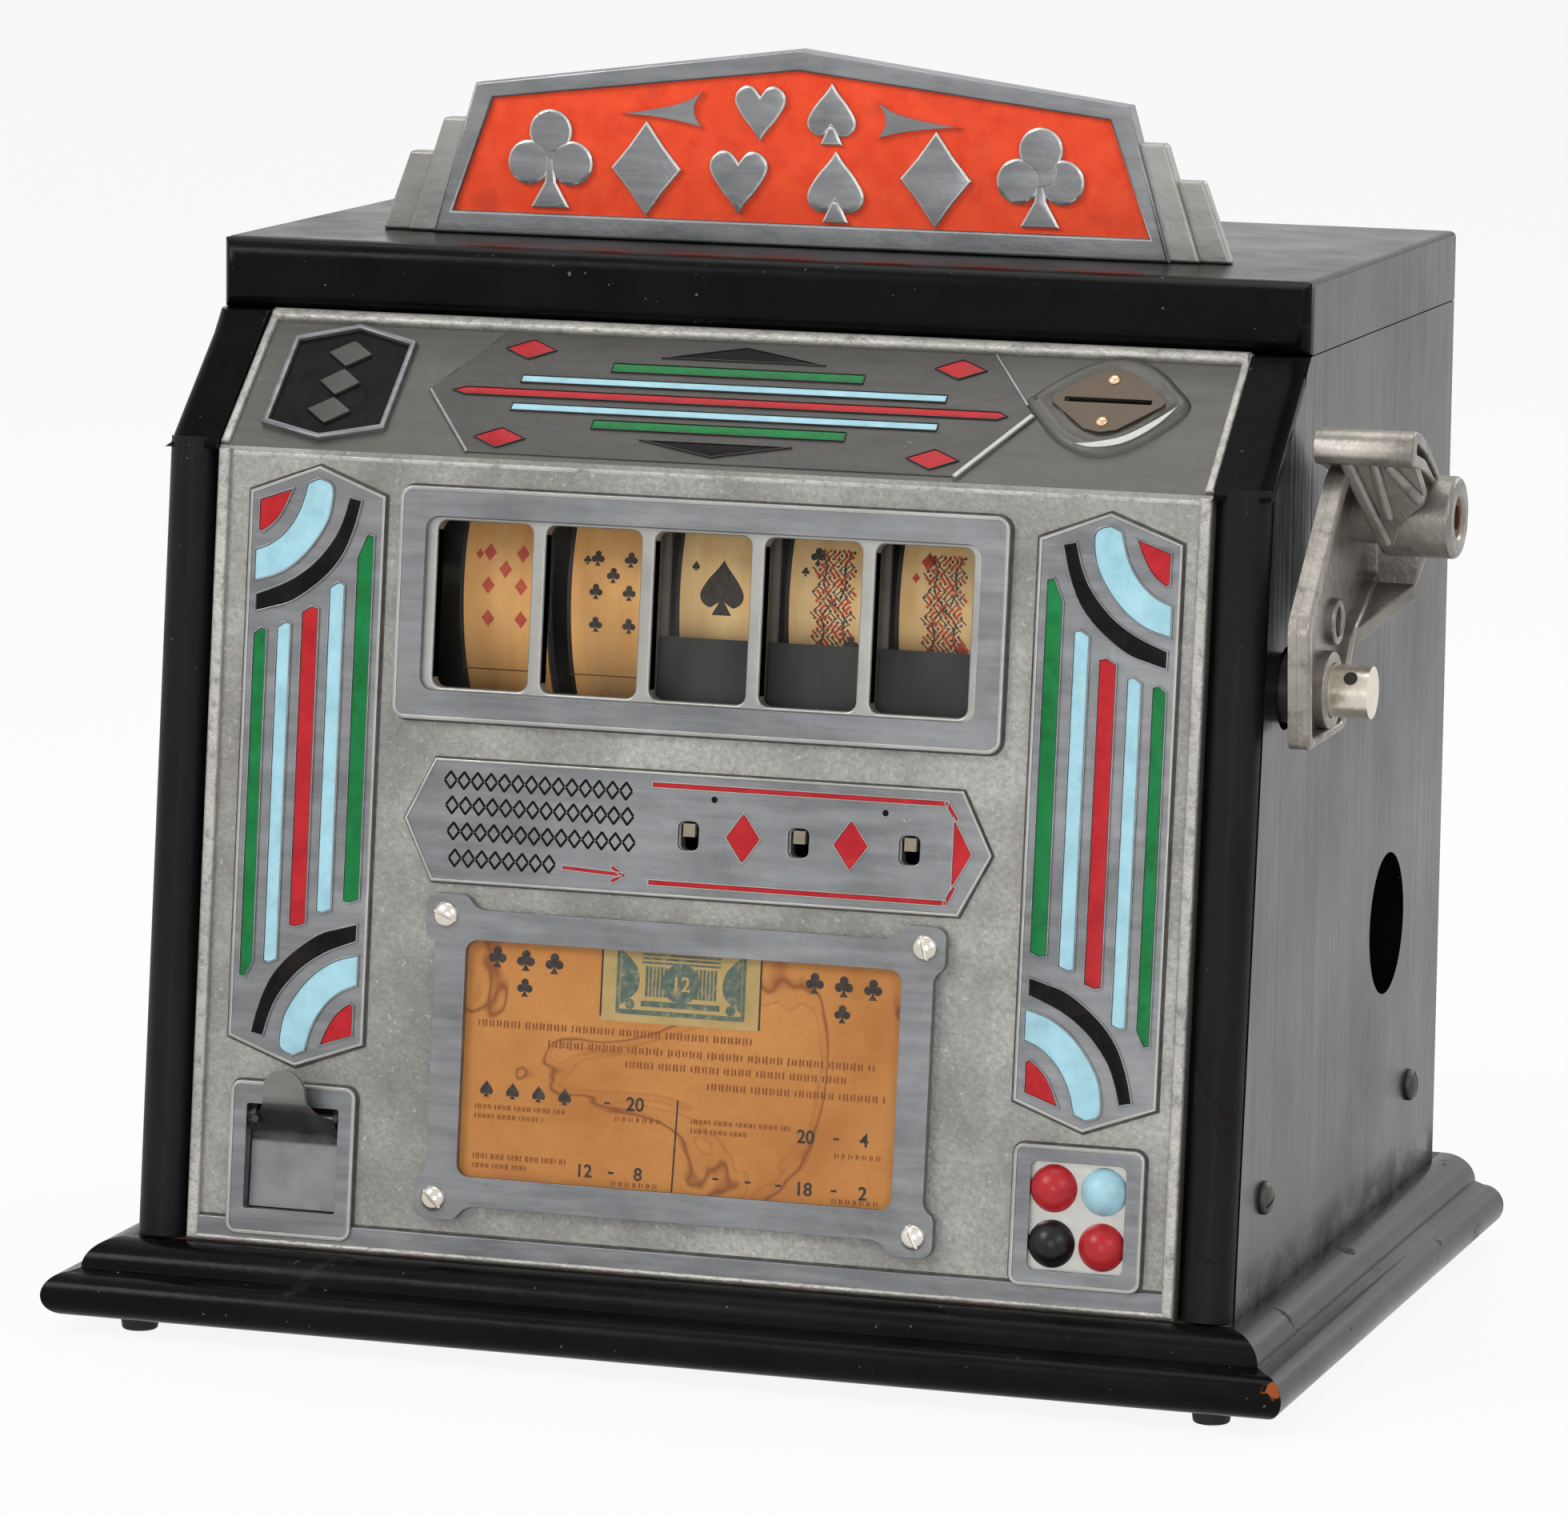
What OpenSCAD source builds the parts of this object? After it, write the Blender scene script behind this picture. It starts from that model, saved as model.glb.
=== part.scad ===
// Countertop trade stimulator: a lacquered wooden cabinet with a cast front panel, five card
// reels behind a row of windows, three window shutters with press-down levers, a gum cup
// with a hinged flap and an operating handle on the right side.
// Frame: X to the right, Y to the back, Z up. X = 0 is the middle of the cabinet, Y = 0 the
// middle of the base's depth and Z = 0 the counter that the feet stand on.

/* [Cabinet] */
// Width across the outer faces of the side boards
body_w = 266; // [256:1:330]
// Thickness of the side boards
board_t = 13; // [10:0.5:16]
// Depth of the base from the front nose of its moulding to the back
base_d = 222; // [212:1:280]
// Height of the base moulding
base_h = 17.5; // [15:0.5:22]
// How far the base moulding stands out from the boards
overhang = 16.5; // [14:0.5:20]
// How far the base stands out behind the cabinet
back_lip = 8.5; // [6:0.5:12]
// Height of the rubber feet
foot_h = 4; // [3:0.5:8]
// Diameter of the rubber feet
foot_d = 9.5; // [8:0.5:14]
// Thickness of the top board
top_t = 17; // [14:0.5:21]
// How far the top board stands out from the sides
top_lip = 1.5; // [0.5:0.5:3]
// Thickness of the rear door
door_t = 10; // [8:0.5:12]
// Radius of the round hole in the right side board
side_hole_r = 17.1; // [12:0.1:20]

/* [Front panel] */
// Height of the lower, nearly upright face
lower_h = 185; // [182:1:225]
// How far the lower face leans back over its height
lean = 20; // [14:1:26]
// Height of the sloping face above it
slope_h = 28.5; // [26:0.5:34]
// Depth of the sloping face
slope_run = 34; // [30:0.5:41]
// Wall of the casting
panel_t = 3.5; // [3:0.1:4.2]
// How far the panel's face is set back from the boards' front edge
panel_inset = 1.5; // [0.5:0.5:3]
// Height of the raised borders and plates
relief = 1.4; // [1:0.1:1.8]

/* [Windows and reels] */
// Distance from one reel to the next
reel_pitch = 26.5; // [25:0.5:28]
// Width of one window
win_w = 23.2; // [20:0.1:23.6]
// Height of the windows
win_h = 38.6; // [34:0.2:42]
// Distance from the panel's bend down to the middle of the windows
win_drop = 34; // [32:0.5:38]
// Thickness of the window glass
glass_t = 2; // [1.5:0.1:2.4]
// Radius of a reel over its printed strip
reel_r = 45; // [38:0.5:47]
// Width of a printed strip
strip_w = 22; // [18:0.5:22.5]
// Radius of the reel shaft
reel_shaft_r = 4; // [3:0.1:5]
// Depth of the reels' front behind the panel's face
reel_setback = 12.5; // [12:0.5:16]

/* [Handle] */
// Radius of the handle's shaft
handle_shaft_r = 6; // [5:0.1:7]
// Distance from the side board to the outer end of the handle
handle_reach = 32; // [28:1:38]
// Throw of the crank arms inside
crank_r = 18; // [14:0.5:20]
// Height of the handle's axis below the reels' axis
handle_drop = 10; // [6:0.5:14]

/* [Card frame] */
// Width of the opening in the award card frame
card_w = 105.4; // [90:0.2:112]
// Height of the opening in the award card frame
card_h = 55; // [45:0.5:57]

/* [Marquee] */
// Width of the marquee at its foot
marquee_w = 210; // [180:1:250]
// Height of the marquee's peak above the top board
marquee_h = 46.5; // [40:0.5:56]
// Thickness of the marquee
marquee_t = 7; // [5:0.5:9]

/* [Hidden] */
$fn = 48;
run_gap = 0.05;   // radial clearance of a running fit
key_gap = 0.02;   // radial clearance of a part pinned on its shaft
seat_gap = 0.3;   // clearance between parts that must not touch
sheet_t = 1.2;    // sheet metal of cup, hopper, chute and cash box
plate_t = 2.5;    // steel side plates of the mechanism
rod_r = 3;        // tie rods and pivot rods
weld = 0.5;       // how deep a raised feature is rooted in its plate

// The cabinet's main lines
side_x = body_w / 2;
inner_x = side_x - board_t;
base_top = foot_h + base_h;
base_front = -base_d / 2;
body_front = base_front + overhang;
body_back = base_d / 2 - back_lip;
face_y = body_front + panel_inset;
break_y = face_y + lean;
break_z = base_top + lower_h;
neck_y = break_y + slope_run;
neck_z = break_z + slope_h;
top_z = neck_z + top_t;
top_front = neck_y - 2;

// The two planes of the front panel: place along them, and height off them
tilt_1 = atan2(lower_h, lean);
tilt_2 = atan2(slope_h, slope_run);
lower_len = norm([lean, lower_h]);
slope_len = norm([slope_run, slope_h]);
out_1 = [-sin(tilt_1), cos(tilt_1)];
out_2 = [-sin(tilt_2), cos(tilt_2)];
function lower_pt(s, n) = [face_y, base_top] + s * [cos(tilt_1), sin(tilt_1)] + n * out_1;
function slope_pt(t, n) = [break_y, break_z] + t * [cos(tilt_2), sin(tilt_2)] + n * out_2;
panel_hw = inner_x - 0.3;
bend_in = [break_y, break_z] - panel_t * (out_1 + out_2) / (1 + out_1 * out_2);

// Places on the lower face
win_s = lower_len - win_drop;
frame_hw = 2 * reel_pitch + win_w / 2 + 8.9;
frame_hh = win_h / 2 + 7.7;
lever_s = win_s - 50;
lever_hole = [4.8, 6.6];
strip_hw = 62.5;
strip_hh = 14;
deco_x = panel_hw - 23.6;
deco_hw = 16.2;
deco_low = 43;
deco_high = lower_len - 5.5;
deco_peak = 6;
card_s = 47.4;
card_border = 5;
cup_x = -(panel_hw - 25.5);
cup_w = 22.8;
cup_s = [8.4, 33];
cup_border = 3.6;
gum_x = panel_hw - 23.5;
gum_s = 21.5;
coin_x = panel_hw - 30.3;
coin_t = 26.4;
coin_size = [27, 19.5];
slot = [20.6, 2.1];

// Reels, shafts and plates
reel_count = 5;
card_count = 8;   // cards on each strip, and notches in each star
pawl_angle = -80;
function reel_x(i) = (i - 2) * reel_pitch;
reel_axis = lower_pt(win_s, -reel_setback) + [reel_r, 0];
plate_x = 2 * reel_pitch + 21;
plate_out = plate_x + plate_t;
hub_r = reel_shaft_r + 8;
star_r = 0.4 * reel_r;
star_gap = 1.3;
star_t = 1.5;
strip_t = 0.4;
rim_t = 1.6;
handle_axis = [lower_pt(win_s, 0)[0] + 21.5, reel_axis[1] - handle_drop];
cross_axis = handle_axis - [0, 58];
cross_r = 4;
crank_rest = -30;
crank_pin = crank_r * [cos(crank_rest), sin(crank_rest)];
crank_x = inner_x - 16;
crank_t = 4;
link_t = 3;
pin_r = 3;
pin_end = inner_x - 3.5;
lever_axis = lower_pt(lever_s + 1.4, -24);
pawl_axis = reel_axis + [41, -33] * (reel_r + 7) / 52;
rod_spots = [[lever_axis[0] + 4, base_top + 19], [pawl_axis[0] + 30, base_top + 19],
             [reel_axis[0] + reel_r + 16, reel_axis[1] + 5], pawl_axis, lever_axis];

// Shutters and their guides, measured inwards from the panel's face
shutter_count = 3;
shutter_t = 0.8;
shutter_n = panel_t + glass_t + 1.7;
shutter_h = win_h + 0.4;
shutter_open = 14.4;
shutter_low = win_s - win_h / 2 + shutter_open - shutter_h;
guide_n = shutter_n + shutter_t + 1;
guide_w = 1.6;

// Flap, chute, hopper and cash box
flap_s = cup_s[1] - 2.6;
flap_axis = lower_pt(flap_s, -panel_t / 2);
flap_pin_r = 1;
cup_depth = 27;
gum_wheel_r = 16;
chute_d = 5;
chute_bend = slope_pt(coin_t, -panel_t - seat_gap) + 30 * [sin(tilt_2), -cos(tilt_2)];
chute_end = cross_axis[1] - 4;
box_h = 36.5;
box_l = 118;
box_w = inner_x - plate_out - 4;

// Rear door, its hinges and its lock
door_gap = 1.5;
hinge_t = 1.2;
hinge_r = 2.6;
hinge_axis = [-inner_x + 0.5, body_back + hinge_r + seat_gap];
hinge_h = 30;
hinge_pin_r = 1.2;
lock_r = 8;
lock_spot = [inner_x - 20, (base_top + neck_z) / 2];
batten = 8;

// The marquee stands a little in front of the middle of the top board
marquee_y = neck_y + 30;
marquee_screw_x = 0.3 * marquee_w;
side_screw_spots = [[body_front + 28.5, base_top + 24], [body_back - 28, base_top + 24]];
side_hole_spot = [body_back - 54.8, base_top + 68.5];

// A profile drawn in (Y, Z) and run along X
module across(x0, x1) {
    translate([x0, 0, 0]) rotate([90, 0, 90]) linear_extrude(x1 - x0) children();
}

// A round bar along X through a point given in (Y, Z)
module bar_x(x0, x1, at, r) {
    translate([x0, at[0], at[1]]) rotate([0, 90, 0]) cylinder(r = r, h = x1 - x0);
}

// Drawing planes on the two faces of the front panel
module on_lower() {
    translate([0, face_y, base_top]) rotate([tilt_1, 0, 0]) children();
}
module on_slope() {
    translate([0, break_y, break_z]) rotate([tilt_2, 0, 0]) children();
}

// A raised outline on a face, rooted in the plate under it
module raised(h) {
    translate([0, 0, -weld]) linear_extrude(h + weld) children();
}

module round_rect(w, h, r) {
    square([w - 2 * r, h], center = true);
    square([w, h - 2 * r], center = true);
    for (i = [-1, 1], j = [-1, 1])
        translate([i * (w / 2 - r), j * (h / 2 - r)]) circle(r);
}

// An upright plate with a point at the top and at the bottom
module pointed(hw, low, high, peak) {
    polygon([[0, low], [hw, low + peak], [hw, high - peak],
             [0, high], [-hw, high - peak], [-hw, low + peak]]);
}

// Base: a floor board with a moulding mitred round its front and sides
nose_r = 4.25;
ovolo_r = base_h - 2 * nose_r - 0.8;
function base_profile() = concat(
    [[0, 0]],
    [for (a = [-90:10:90]) [overhang - nose_r + nose_r * cos(a), nose_r + nose_r * sin(a)]],
    [for (a = [0:10:90])
        [2.4 + ovolo_r * cos(a), base_h - ovolo_r + ovolo_r * sin(a)]],
    [[0, base_h]]);

module bottom_board() color("saddlebrown")
    translate([-side_x, body_front, foot_h]) cube([body_w, base_d / 2 - body_front, base_h]);

module base_moulding_front() color([0.05, 0.05, 0.05]) intersection() {
    translate([-side_x - overhang, body_front, foot_h]) rotate([90, 0, 90])
        linear_extrude(body_w + 2 * overhang) mirror([1, 0]) polygon(base_profile());
    linear_extrude(base_top) polygon([[-side_x, body_front], [side_x, body_front],
        [side_x + overhang, base_front], [-side_x - overhang, base_front]]);
}

module base_moulding_right() color([0.05, 0.05, 0.05]) intersection() {
    translate([side_x, base_d / 2, foot_h]) rotate([90, 0, 0])
        linear_extrude(base_d) polygon(base_profile());
    linear_extrude(base_top) polygon([[side_x, body_front],
        [side_x + overhang, base_front], [side_x + overhang, base_d / 2],
        [side_x, base_d / 2]]);
}

module base_moulding_left() mirror([1, 0, 0]) base_moulding_right();

module feet() color([0.1, 0.1, 0.1])
    for (x = [-1, 1], y = [-1, 1])
        translate([x * (side_x - 3), y * (base_d / 2 - 14), 0])
            cylinder(d = foot_d, h = foot_h);

// Side boards follow the panel's lean and slope, standing a little proud of it
corner_cut = 4;
wood_screw_r = 1.75;
side_outline = [
    [body_front, base_top], [body_front + lean, break_z + 0.5],
    [neck_y - 7.5, neck_z - corner_cut], [neck_y - 4, neck_z],
    [body_back, neck_z], [body_back, base_top]];

module side_board() difference() {
    across(inner_x, side_x) polygon(side_outline);
    for (at = side_screw_spots) bar_x(side_x - 12, side_x + 1, at, wood_screw_r + run_gap);
}

module side_board_left() color([0.07, 0.07, 0.07]) mirror([1, 0, 0]) side_board();

module side_board_right() color([0.3, 0.3, 0.3]) difference() {
    side_board();
    bar_x(inner_x - 1, side_x + 1, side_hole_spot, side_hole_r);
    bar_x(inner_x - 1, side_x + 1, handle_axis, bushing_r + run_gap);
    bar_x(inner_x - 1, inner_x + 8, spring_anchor, wood_screw_r + run_gap);
}

module top_board() color([0.06, 0.06, 0.06]) difference() {
    translate([-side_x - top_lip, top_front, neck_z])
        cube([body_w + 2 * top_lip, body_back - top_front + 1, top_t]);
    for (x = [-1, 1])
        translate([x * marquee_screw_x, marquee_y + marquee_t / 2, neck_z - 1])
            cylinder(r = wood_screw_r + run_gap, h = top_t + 2);
}

// Stops that the rear door closes against, and glue blocks in the front corners
block_l = 60;

module cabinet_battens() color("burlywood") {
    for (x = [-1, 1])
        translate([x > 0 ? inner_x - batten : -inner_x, body_back - door_t - batten, base_top])
            cube([batten, batten, neck_z - base_top]);
    translate([-inner_x + batten + seat_gap, body_back - door_t - batten, neck_z - batten])
        cube([2 * (inner_x - batten - seat_gap), batten, batten]);
    for (x = [-1, 1])
        translate([x > 0 ? inner_x - 6 : -inner_x, neck_y + 12, neck_z - 12])
            cube([6, block_l, 12]);
}

module rear_door() color([0.12, 0.1, 0.09]) difference() {
    translate([-inner_x + door_gap, body_back - door_t, base_top + door_gap])
        cube([2 * (inner_x - door_gap), door_t, neck_z - base_top - 2 * door_gap]);
    translate([lock_spot[0], body_back + 1, lock_spot[1]]) rotate([90, 0, 0])
        cylinder(r = lock_r + run_gap, h = door_t + 2);
}

hinge_spots = [base_top + 40, neck_z - 40];

module hinge_leaves_fixed() color("goldenrod") for (z = hinge_spots) {
    translate([hinge_axis[0] - 12, body_back, z - hinge_h / 2])
        cube([12 - hinge_r - seat_gap, hinge_t, hinge_h]);
    for (k = [-1, 1])
        translate([hinge_axis[0], hinge_axis[1], z + k * (hinge_h / 3) - 0.5 * (hinge_h / 3 - 0.4)])
            hinge_knuckle(-1);
    translate([hinge_axis[0], hinge_axis[1], z - hinge_h / 2 + 0.2])
        cylinder(r = hinge_pin_r, h = hinge_h - 0.4);
}

module hinge_leaves_door() color("goldenrod") for (z = hinge_spots) {
    translate([hinge_axis[0] + hinge_r + seat_gap, body_back, z - hinge_h / 2])
        cube([16, hinge_t, hinge_h]);
    translate([hinge_axis[0], hinge_axis[1], z - 0.5 * (hinge_h / 3 - 0.4)])
        difference() {
            hinge_knuckle(1);
            translate([0, 0, -1]) cylinder(r = hinge_pin_r + run_gap, h = hinge_h);
        }
}

// One barrel of a hinge with the tongue that joins it to its leaf
module hinge_knuckle(side) {
    h = hinge_h / 3 - 0.4;
    cylinder(r = hinge_r, h = h);
    translate([side > 0 ? 0 : -hinge_r - 2 * seat_gap, -hinge_r - seat_gap, 0])
        cube([hinge_r + 2 * seat_gap, hinge_t, h]);
}

module door_lock() color("silver") translate([lock_spot[0], body_back, lock_spot[1]])
    rotate([-90, 0, 0]) difference() {
        union() {
            cylinder(r = 12, h = 2.5);
            translate([0, 0, -door_t - batten - 1]) cylinder(r = lock_r, h = door_t + batten + 2);
            translate([0, 0, -door_t - batten - 4.6]) cylinder(r = 3, h = 4);
        }
        translate([-0.6, -3.5, 1]) cube([1.2, 7, 3]);
    }

module lock_cam() color("goldenrod")
    translate([lock_spot[0], body_back - door_t - batten - 1.3, lock_spot[1]])
        rotate([90, 0, 0]) linear_extrude(2) difference() {
            union() {
                circle(6);
                translate([-4.5, 0]) square([9, 17]);
            }
            circle(3 + run_gap);
        }

// Screws: two in each side board, two that hold the marquee, one spring anchor
module wood_screws() color("silver") {
    for (m = [0, 1]) mirror([m, 0, 0]) for (at = side_screw_spots) {
        bar_x(side_x - 11, side_x + 0.5, at, wood_screw_r);
        difference() {
            bar_x(side_x, side_x + 1.2, at, 3.6);
            translate([side_x + 0.6, at[0] - 4, at[1] - 0.5]) cube([2, 8, 1]);
        }
    }
    for (x = [-1, 1])
        translate([x * marquee_screw_x, marquee_y + marquee_t / 2, 0]) {
            translate([0, 0, neck_z - 2]) cylinder(r = 4, h = 2);
            translate([0, 0, neck_z - 1]) cylinder(r = wood_screw_r, h = top_t + 8);
        }
    bar_x(pin_end - 4.2, inner_x + 7, spring_anchor, wood_screw_r);
}

// The casting: two flat walls joined at the bend, with raised borders and plates
panel_profile = [lower_pt(0, 0), [break_y, break_z], slope_pt(slope_len, 0),
    slope_pt(slope_len, -panel_t), bend_in, [face_y + panel_t / sin(tilt_1), base_top]];
coin_boss = [[-20, 0], [-6, 14.5], [6, 15], [20, 0], [6, -15], [-6, -14.5]];

module front_panel() color([0.72, 0.73, 0.74]) difference() {
    union() {
        across(-panel_hw, panel_hw) polygon(panel_profile);
        on_lower() {
            raised(relief) difference() {
                translate([-panel_hw, 0.3]) square([2 * panel_hw, lower_len - 1.5]);
                translate([-panel_hw + 3, 3]) square([2 * panel_hw - 6, lower_len - 6.5]);
            }
            translate([0, win_s]) raised(relief)
                round_rect(2 * frame_hw, 2 * frame_hh, 3);
            for (x = [-1, 1]) translate([x * deco_x, 0]) raised(relief)
                pointed(deco_hw, deco_low, deco_high, deco_peak);
            translate([0, lever_s]) raised(relief * 0.7)
                polygon([[-strip_hw - 7, 0], [-strip_hw, strip_hh], [strip_hw + 2, strip_hh],
                         [strip_hw + 9, 0], [strip_hw + 2, -strip_hh], [-strip_hw, -strip_hh]]);
            translate([cup_x, (cup_s[0] + cup_s[1]) / 2 - 0.5]) raised(relief)
                round_rect(cup_w + 2 * cup_border, cup_s[1] - cup_s[0] + 10.5, 3);
            translate([gum_x, gum_s]) raised(relief) difference() {
                round_rect(31.2, 32.6, 2.5);
                round_rect(22.4, 24.6, 1.5);
            }
            for (x = [-1, 1], s = [-1, 1])
                translate([gum_x + x * 5.9, gum_s + s * 6.3, -1.6]) intersection() {
                    sphere(5.4);
                    cylinder(r = 5.3, h = 6);
                }
        }
        on_slope() {
            raised(relief * 0.6) polygon([[-73.3, slope_len * 0.46], [-60, slope_len - 4],
                [58, slope_len - 4], [73, slope_len * 0.46], [59, 1.5], [-59, 1.5]]);
            translate([-deco_x, slope_len / 2 - 0.8]) raised(relief)
                polygon([[-14.4, 15], [0, 19], [16, 15], [16, -16], [0, -20], [-14.4, -16]]);
            translate([coin_x, coin_t - 0.4]) raised(relief) polygon(coin_boss);
        }
    }
    on_lower() {
        for (i = [0:reel_count - 1]) translate([reel_x(i), win_s, -panel_t - 5])
            linear_extrude(panel_t + relief + 10) square([win_w, win_h], center = true);
        for (i = [0:shutter_count - 1]) translate([reel_x(i + 2), lever_s, -panel_t - 1])
            linear_extrude(panel_t + relief + 2) square(lever_hole, center = true);
        translate([cup_x - cup_w / 2, cup_s[0], -panel_t - 5])
            cube([cup_w, cup_s[1] - cup_s[0], panel_t + relief + 10]);
        for (x = [-1, 1], s = [-1, 1])
            translate([x * card_screw[0], card_s + s * card_screw[1], -panel_t - 1])
                cylinder(r = 1.5 + run_gap, h = panel_t + 2);
    }
    bar_x(cup_x - flap_pin_hw, cup_x + flap_pin_hw, flap_axis, flap_pin_r + run_gap / 2);
    on_slope() translate([coin_x, coin_t, -panel_t - 1]) {
        linear_extrude(panel_t + relief + 2) square([slot[0] + 1, slot[1] + 1], center = true);
        for (t = [-1, 1]) translate([0, t * coin_rivet, 0])
            cylinder(r = 1 + run_gap, h = panel_t + relief + 2);
    }
}

module window_glass() color([0.8, 0.9, 0.9, 0.35]) on_lower()
    translate([-frame_hw + 4, win_s - win_h / 2 - 3, -panel_t - glass_t])
        cube([2 * frame_hw - 8, win_h + 6, glass_t]);

// Award card under a screwed-on frame with an ear at each corner
card_screw = [card_w / 2 + card_border, card_h / 2 + card_border + 0.6];
frame_t = 2.4;
paper_t = 0.4;

module card_frame() color([0.74, 0.75, 0.76]) on_lower() translate([0, card_s, 0])
    difference() {
        linear_extrude(frame_t) {
            square([card_w + 15, card_h + 14], center = true);
            for (x = [-1, 1], y = [-1, 1])
                translate([x * (card_screw[0] - 0.4), y * (card_screw[1] - 0.8)])
                    round_rect(11, 11, 2);
        }
        translate([0, 0, -1]) linear_extrude(frame_t + 2)
            square([card_w, card_h], center = true);
        translate([0, 0, -1]) linear_extrude(1 + paper_t + 0.2)
            square([card_w + 5, card_h + 5], center = true);
        for (x = [-1, 1], y = [-1, 1])
            translate([x * card_screw[0], y * card_screw[1], -1])
                cylinder(r = 1.5 + run_gap, h = frame_t + 2);
    }

module award_card() color([0.8, 0.5, 0.2]) on_lower() translate([0, card_s, 0])
    linear_extrude(paper_t) square([card_w + 4, card_h + 4], center = true);

module card_frame_screws() color("silver") on_lower()
    for (x = [-1, 1], s = [-1, 1])
        translate([x * card_screw[0], card_s + s * card_screw[1], -panel_t]) {
            cylinder(r = 1.5, h = panel_t + frame_t + 0.5);
            translate([0, 0, panel_t + frame_t]) difference() {
                cylinder(r = 3, h = 1.3);
                translate([-3.5, -0.4, 0.7]) cube([7, 0.8, 1]);
            }
        }

// Brass coin entry plate with its slot and two rivets
coin_rivet = 6.6;

module coin_plate() color([0.5, 0.42, 0.3]) on_slope() translate([coin_x, coin_t, relief])
    linear_extrude(sheet_t) difference() {
        polygon([[-coin_size[0] / 2, 0], [-3.5, coin_size[1] / 2], [3.5, coin_size[1] / 2],
                 [coin_size[0] / 2, 0], [3.5, -coin_size[1] / 2], [-3.5, -coin_size[1] / 2]]);
        square(slot, center = true);
        for (t = [-1, 1]) translate([0, t * coin_rivet]) circle(1 + run_gap);
    }

module coin_plate_rivets() color("peru") on_slope()
    for (t = [-1, 1]) translate([coin_x, coin_t + t * coin_rivet, 0]) {
        translate([0, 0, -panel_t]) cylinder(r = 1, h = panel_t + relief + sheet_t + 0.3);
        translate([0, 0, relief + sheet_t]) cylinder(r = 1.7, h = 0.8);
    }

// Marquee: a pointed panel with stepped wings, each step thinner than the last
function marquee_step(hw_low, hw_high, z) =
    [[-hw_low, 0], [hw_low, 0], [hw_high, z], [-hw_high, z]];

module marquee() color([0.72, 0.73, 0.74])
    translate([0, marquee_y + marquee_t, top_z]) rotate([90, 0, 0]) difference() {
        union() {
            linear_extrude(marquee_t * 0.55)
                polygon(marquee_step(marquee_w / 2, marquee_w / 2 - 7, marquee_h * 0.41));
            linear_extrude(marquee_t * 0.78)
                polygon(marquee_step(marquee_w / 2 - 7, marquee_w / 2 - 16, marquee_h * 0.59));
            linear_extrude(marquee_t) polygon([[-marquee_w / 2 + 14, 0],
                [marquee_w / 2 - 14, 0], [marquee_w / 2 - 24.5, marquee_h * 0.775],
                [0, marquee_h], [-marquee_w / 2 + 24.5, marquee_h * 0.775]]);
        }
        translate([0, 0, marquee_t - 1.5]) linear_extrude(2)
            polygon([[-marquee_w / 2 + 19, 5.5], [marquee_w / 2 - 19, 5.5],
                     [marquee_w / 2 - 29, marquee_h * 0.7], [0, marquee_h * 0.89],
                     [-marquee_w / 2 + 29, marquee_h * 0.7]]);
        for (x = [-1, 1]) translate([x * marquee_screw_x, -1, marquee_t / 2])
            rotate([-90, 0, 0]) cylinder(r = wood_screw_r + run_gap, h = 10);
    }

// Gum cup: floor, sloping back and two sides behind the opening in the panel
cup_hw = cup_w / 2 + 2.6;
cup_mouth = lower_pt(cup_s[0] - 3, -panel_t);
cup_lip = lower_pt(cup_s[1] + 20, -panel_t);
cup_back = cross_axis + [6, -gum_wheel_r - 2];

module gum_cup() color([0.6, 0.6, 0.6]) difference() {
    across(cup_x - cup_hw, cup_x + cup_hw)
        polygon([cup_mouth, [cup_mouth[0] + cup_depth, cup_mouth[1]], cup_back,
                 [cup_back[0] - 12, cup_back[1]], cup_lip]);
    across(cup_x - cup_hw + sheet_t, cup_x + cup_hw - sheet_t)
        polygon([cup_mouth + [-5, sheet_t],
                 [cup_mouth[0] + cup_depth - sheet_t, cup_mouth[1] + sheet_t],
                 cup_back + [-1.5 * sheet_t, 0.1], [cup_back[0] - 12, cup_back[1] + 0.1],
                 cup_lip + [-5, 0.1]]);
}

// The flap: one bent sheet with a thumb tab that leans out over the panel, and two ears
// turned back to the pin
flap_w = cup_w - 1.2;
tab_r = 5.2;
tab_top = cup_s[1] + 9;
tab_out = 8.8;
flap_fold = cup_s[1] - 7;
flap_line = [[cup_s[0] + 0.8, -1], [flap_fold, -1.5], [flap_fold + 8, tab_out - 2], [tab_top, tab_out]];

module flap_outline() {
    translate([-flap_w / 2, 0]) square([flap_w, flap_s]);
    translate([-tab_r, flap_s - 1]) square([2 * tab_r, tab_top - tab_r - flap_s + 1]);
    translate([0, tab_top - tab_r]) circle(tab_r);
    for (m = [0, 1]) mirror([m, 0]) difference() {
        translate([0, flap_s - 1]) square([flap_w / 2, flap_w / 2 - tab_r + 1]);
        translate([flap_w / 2, flap_s + flap_w / 2 - tab_r]) circle(flap_w / 2 - tab_r);
    }
}

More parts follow.
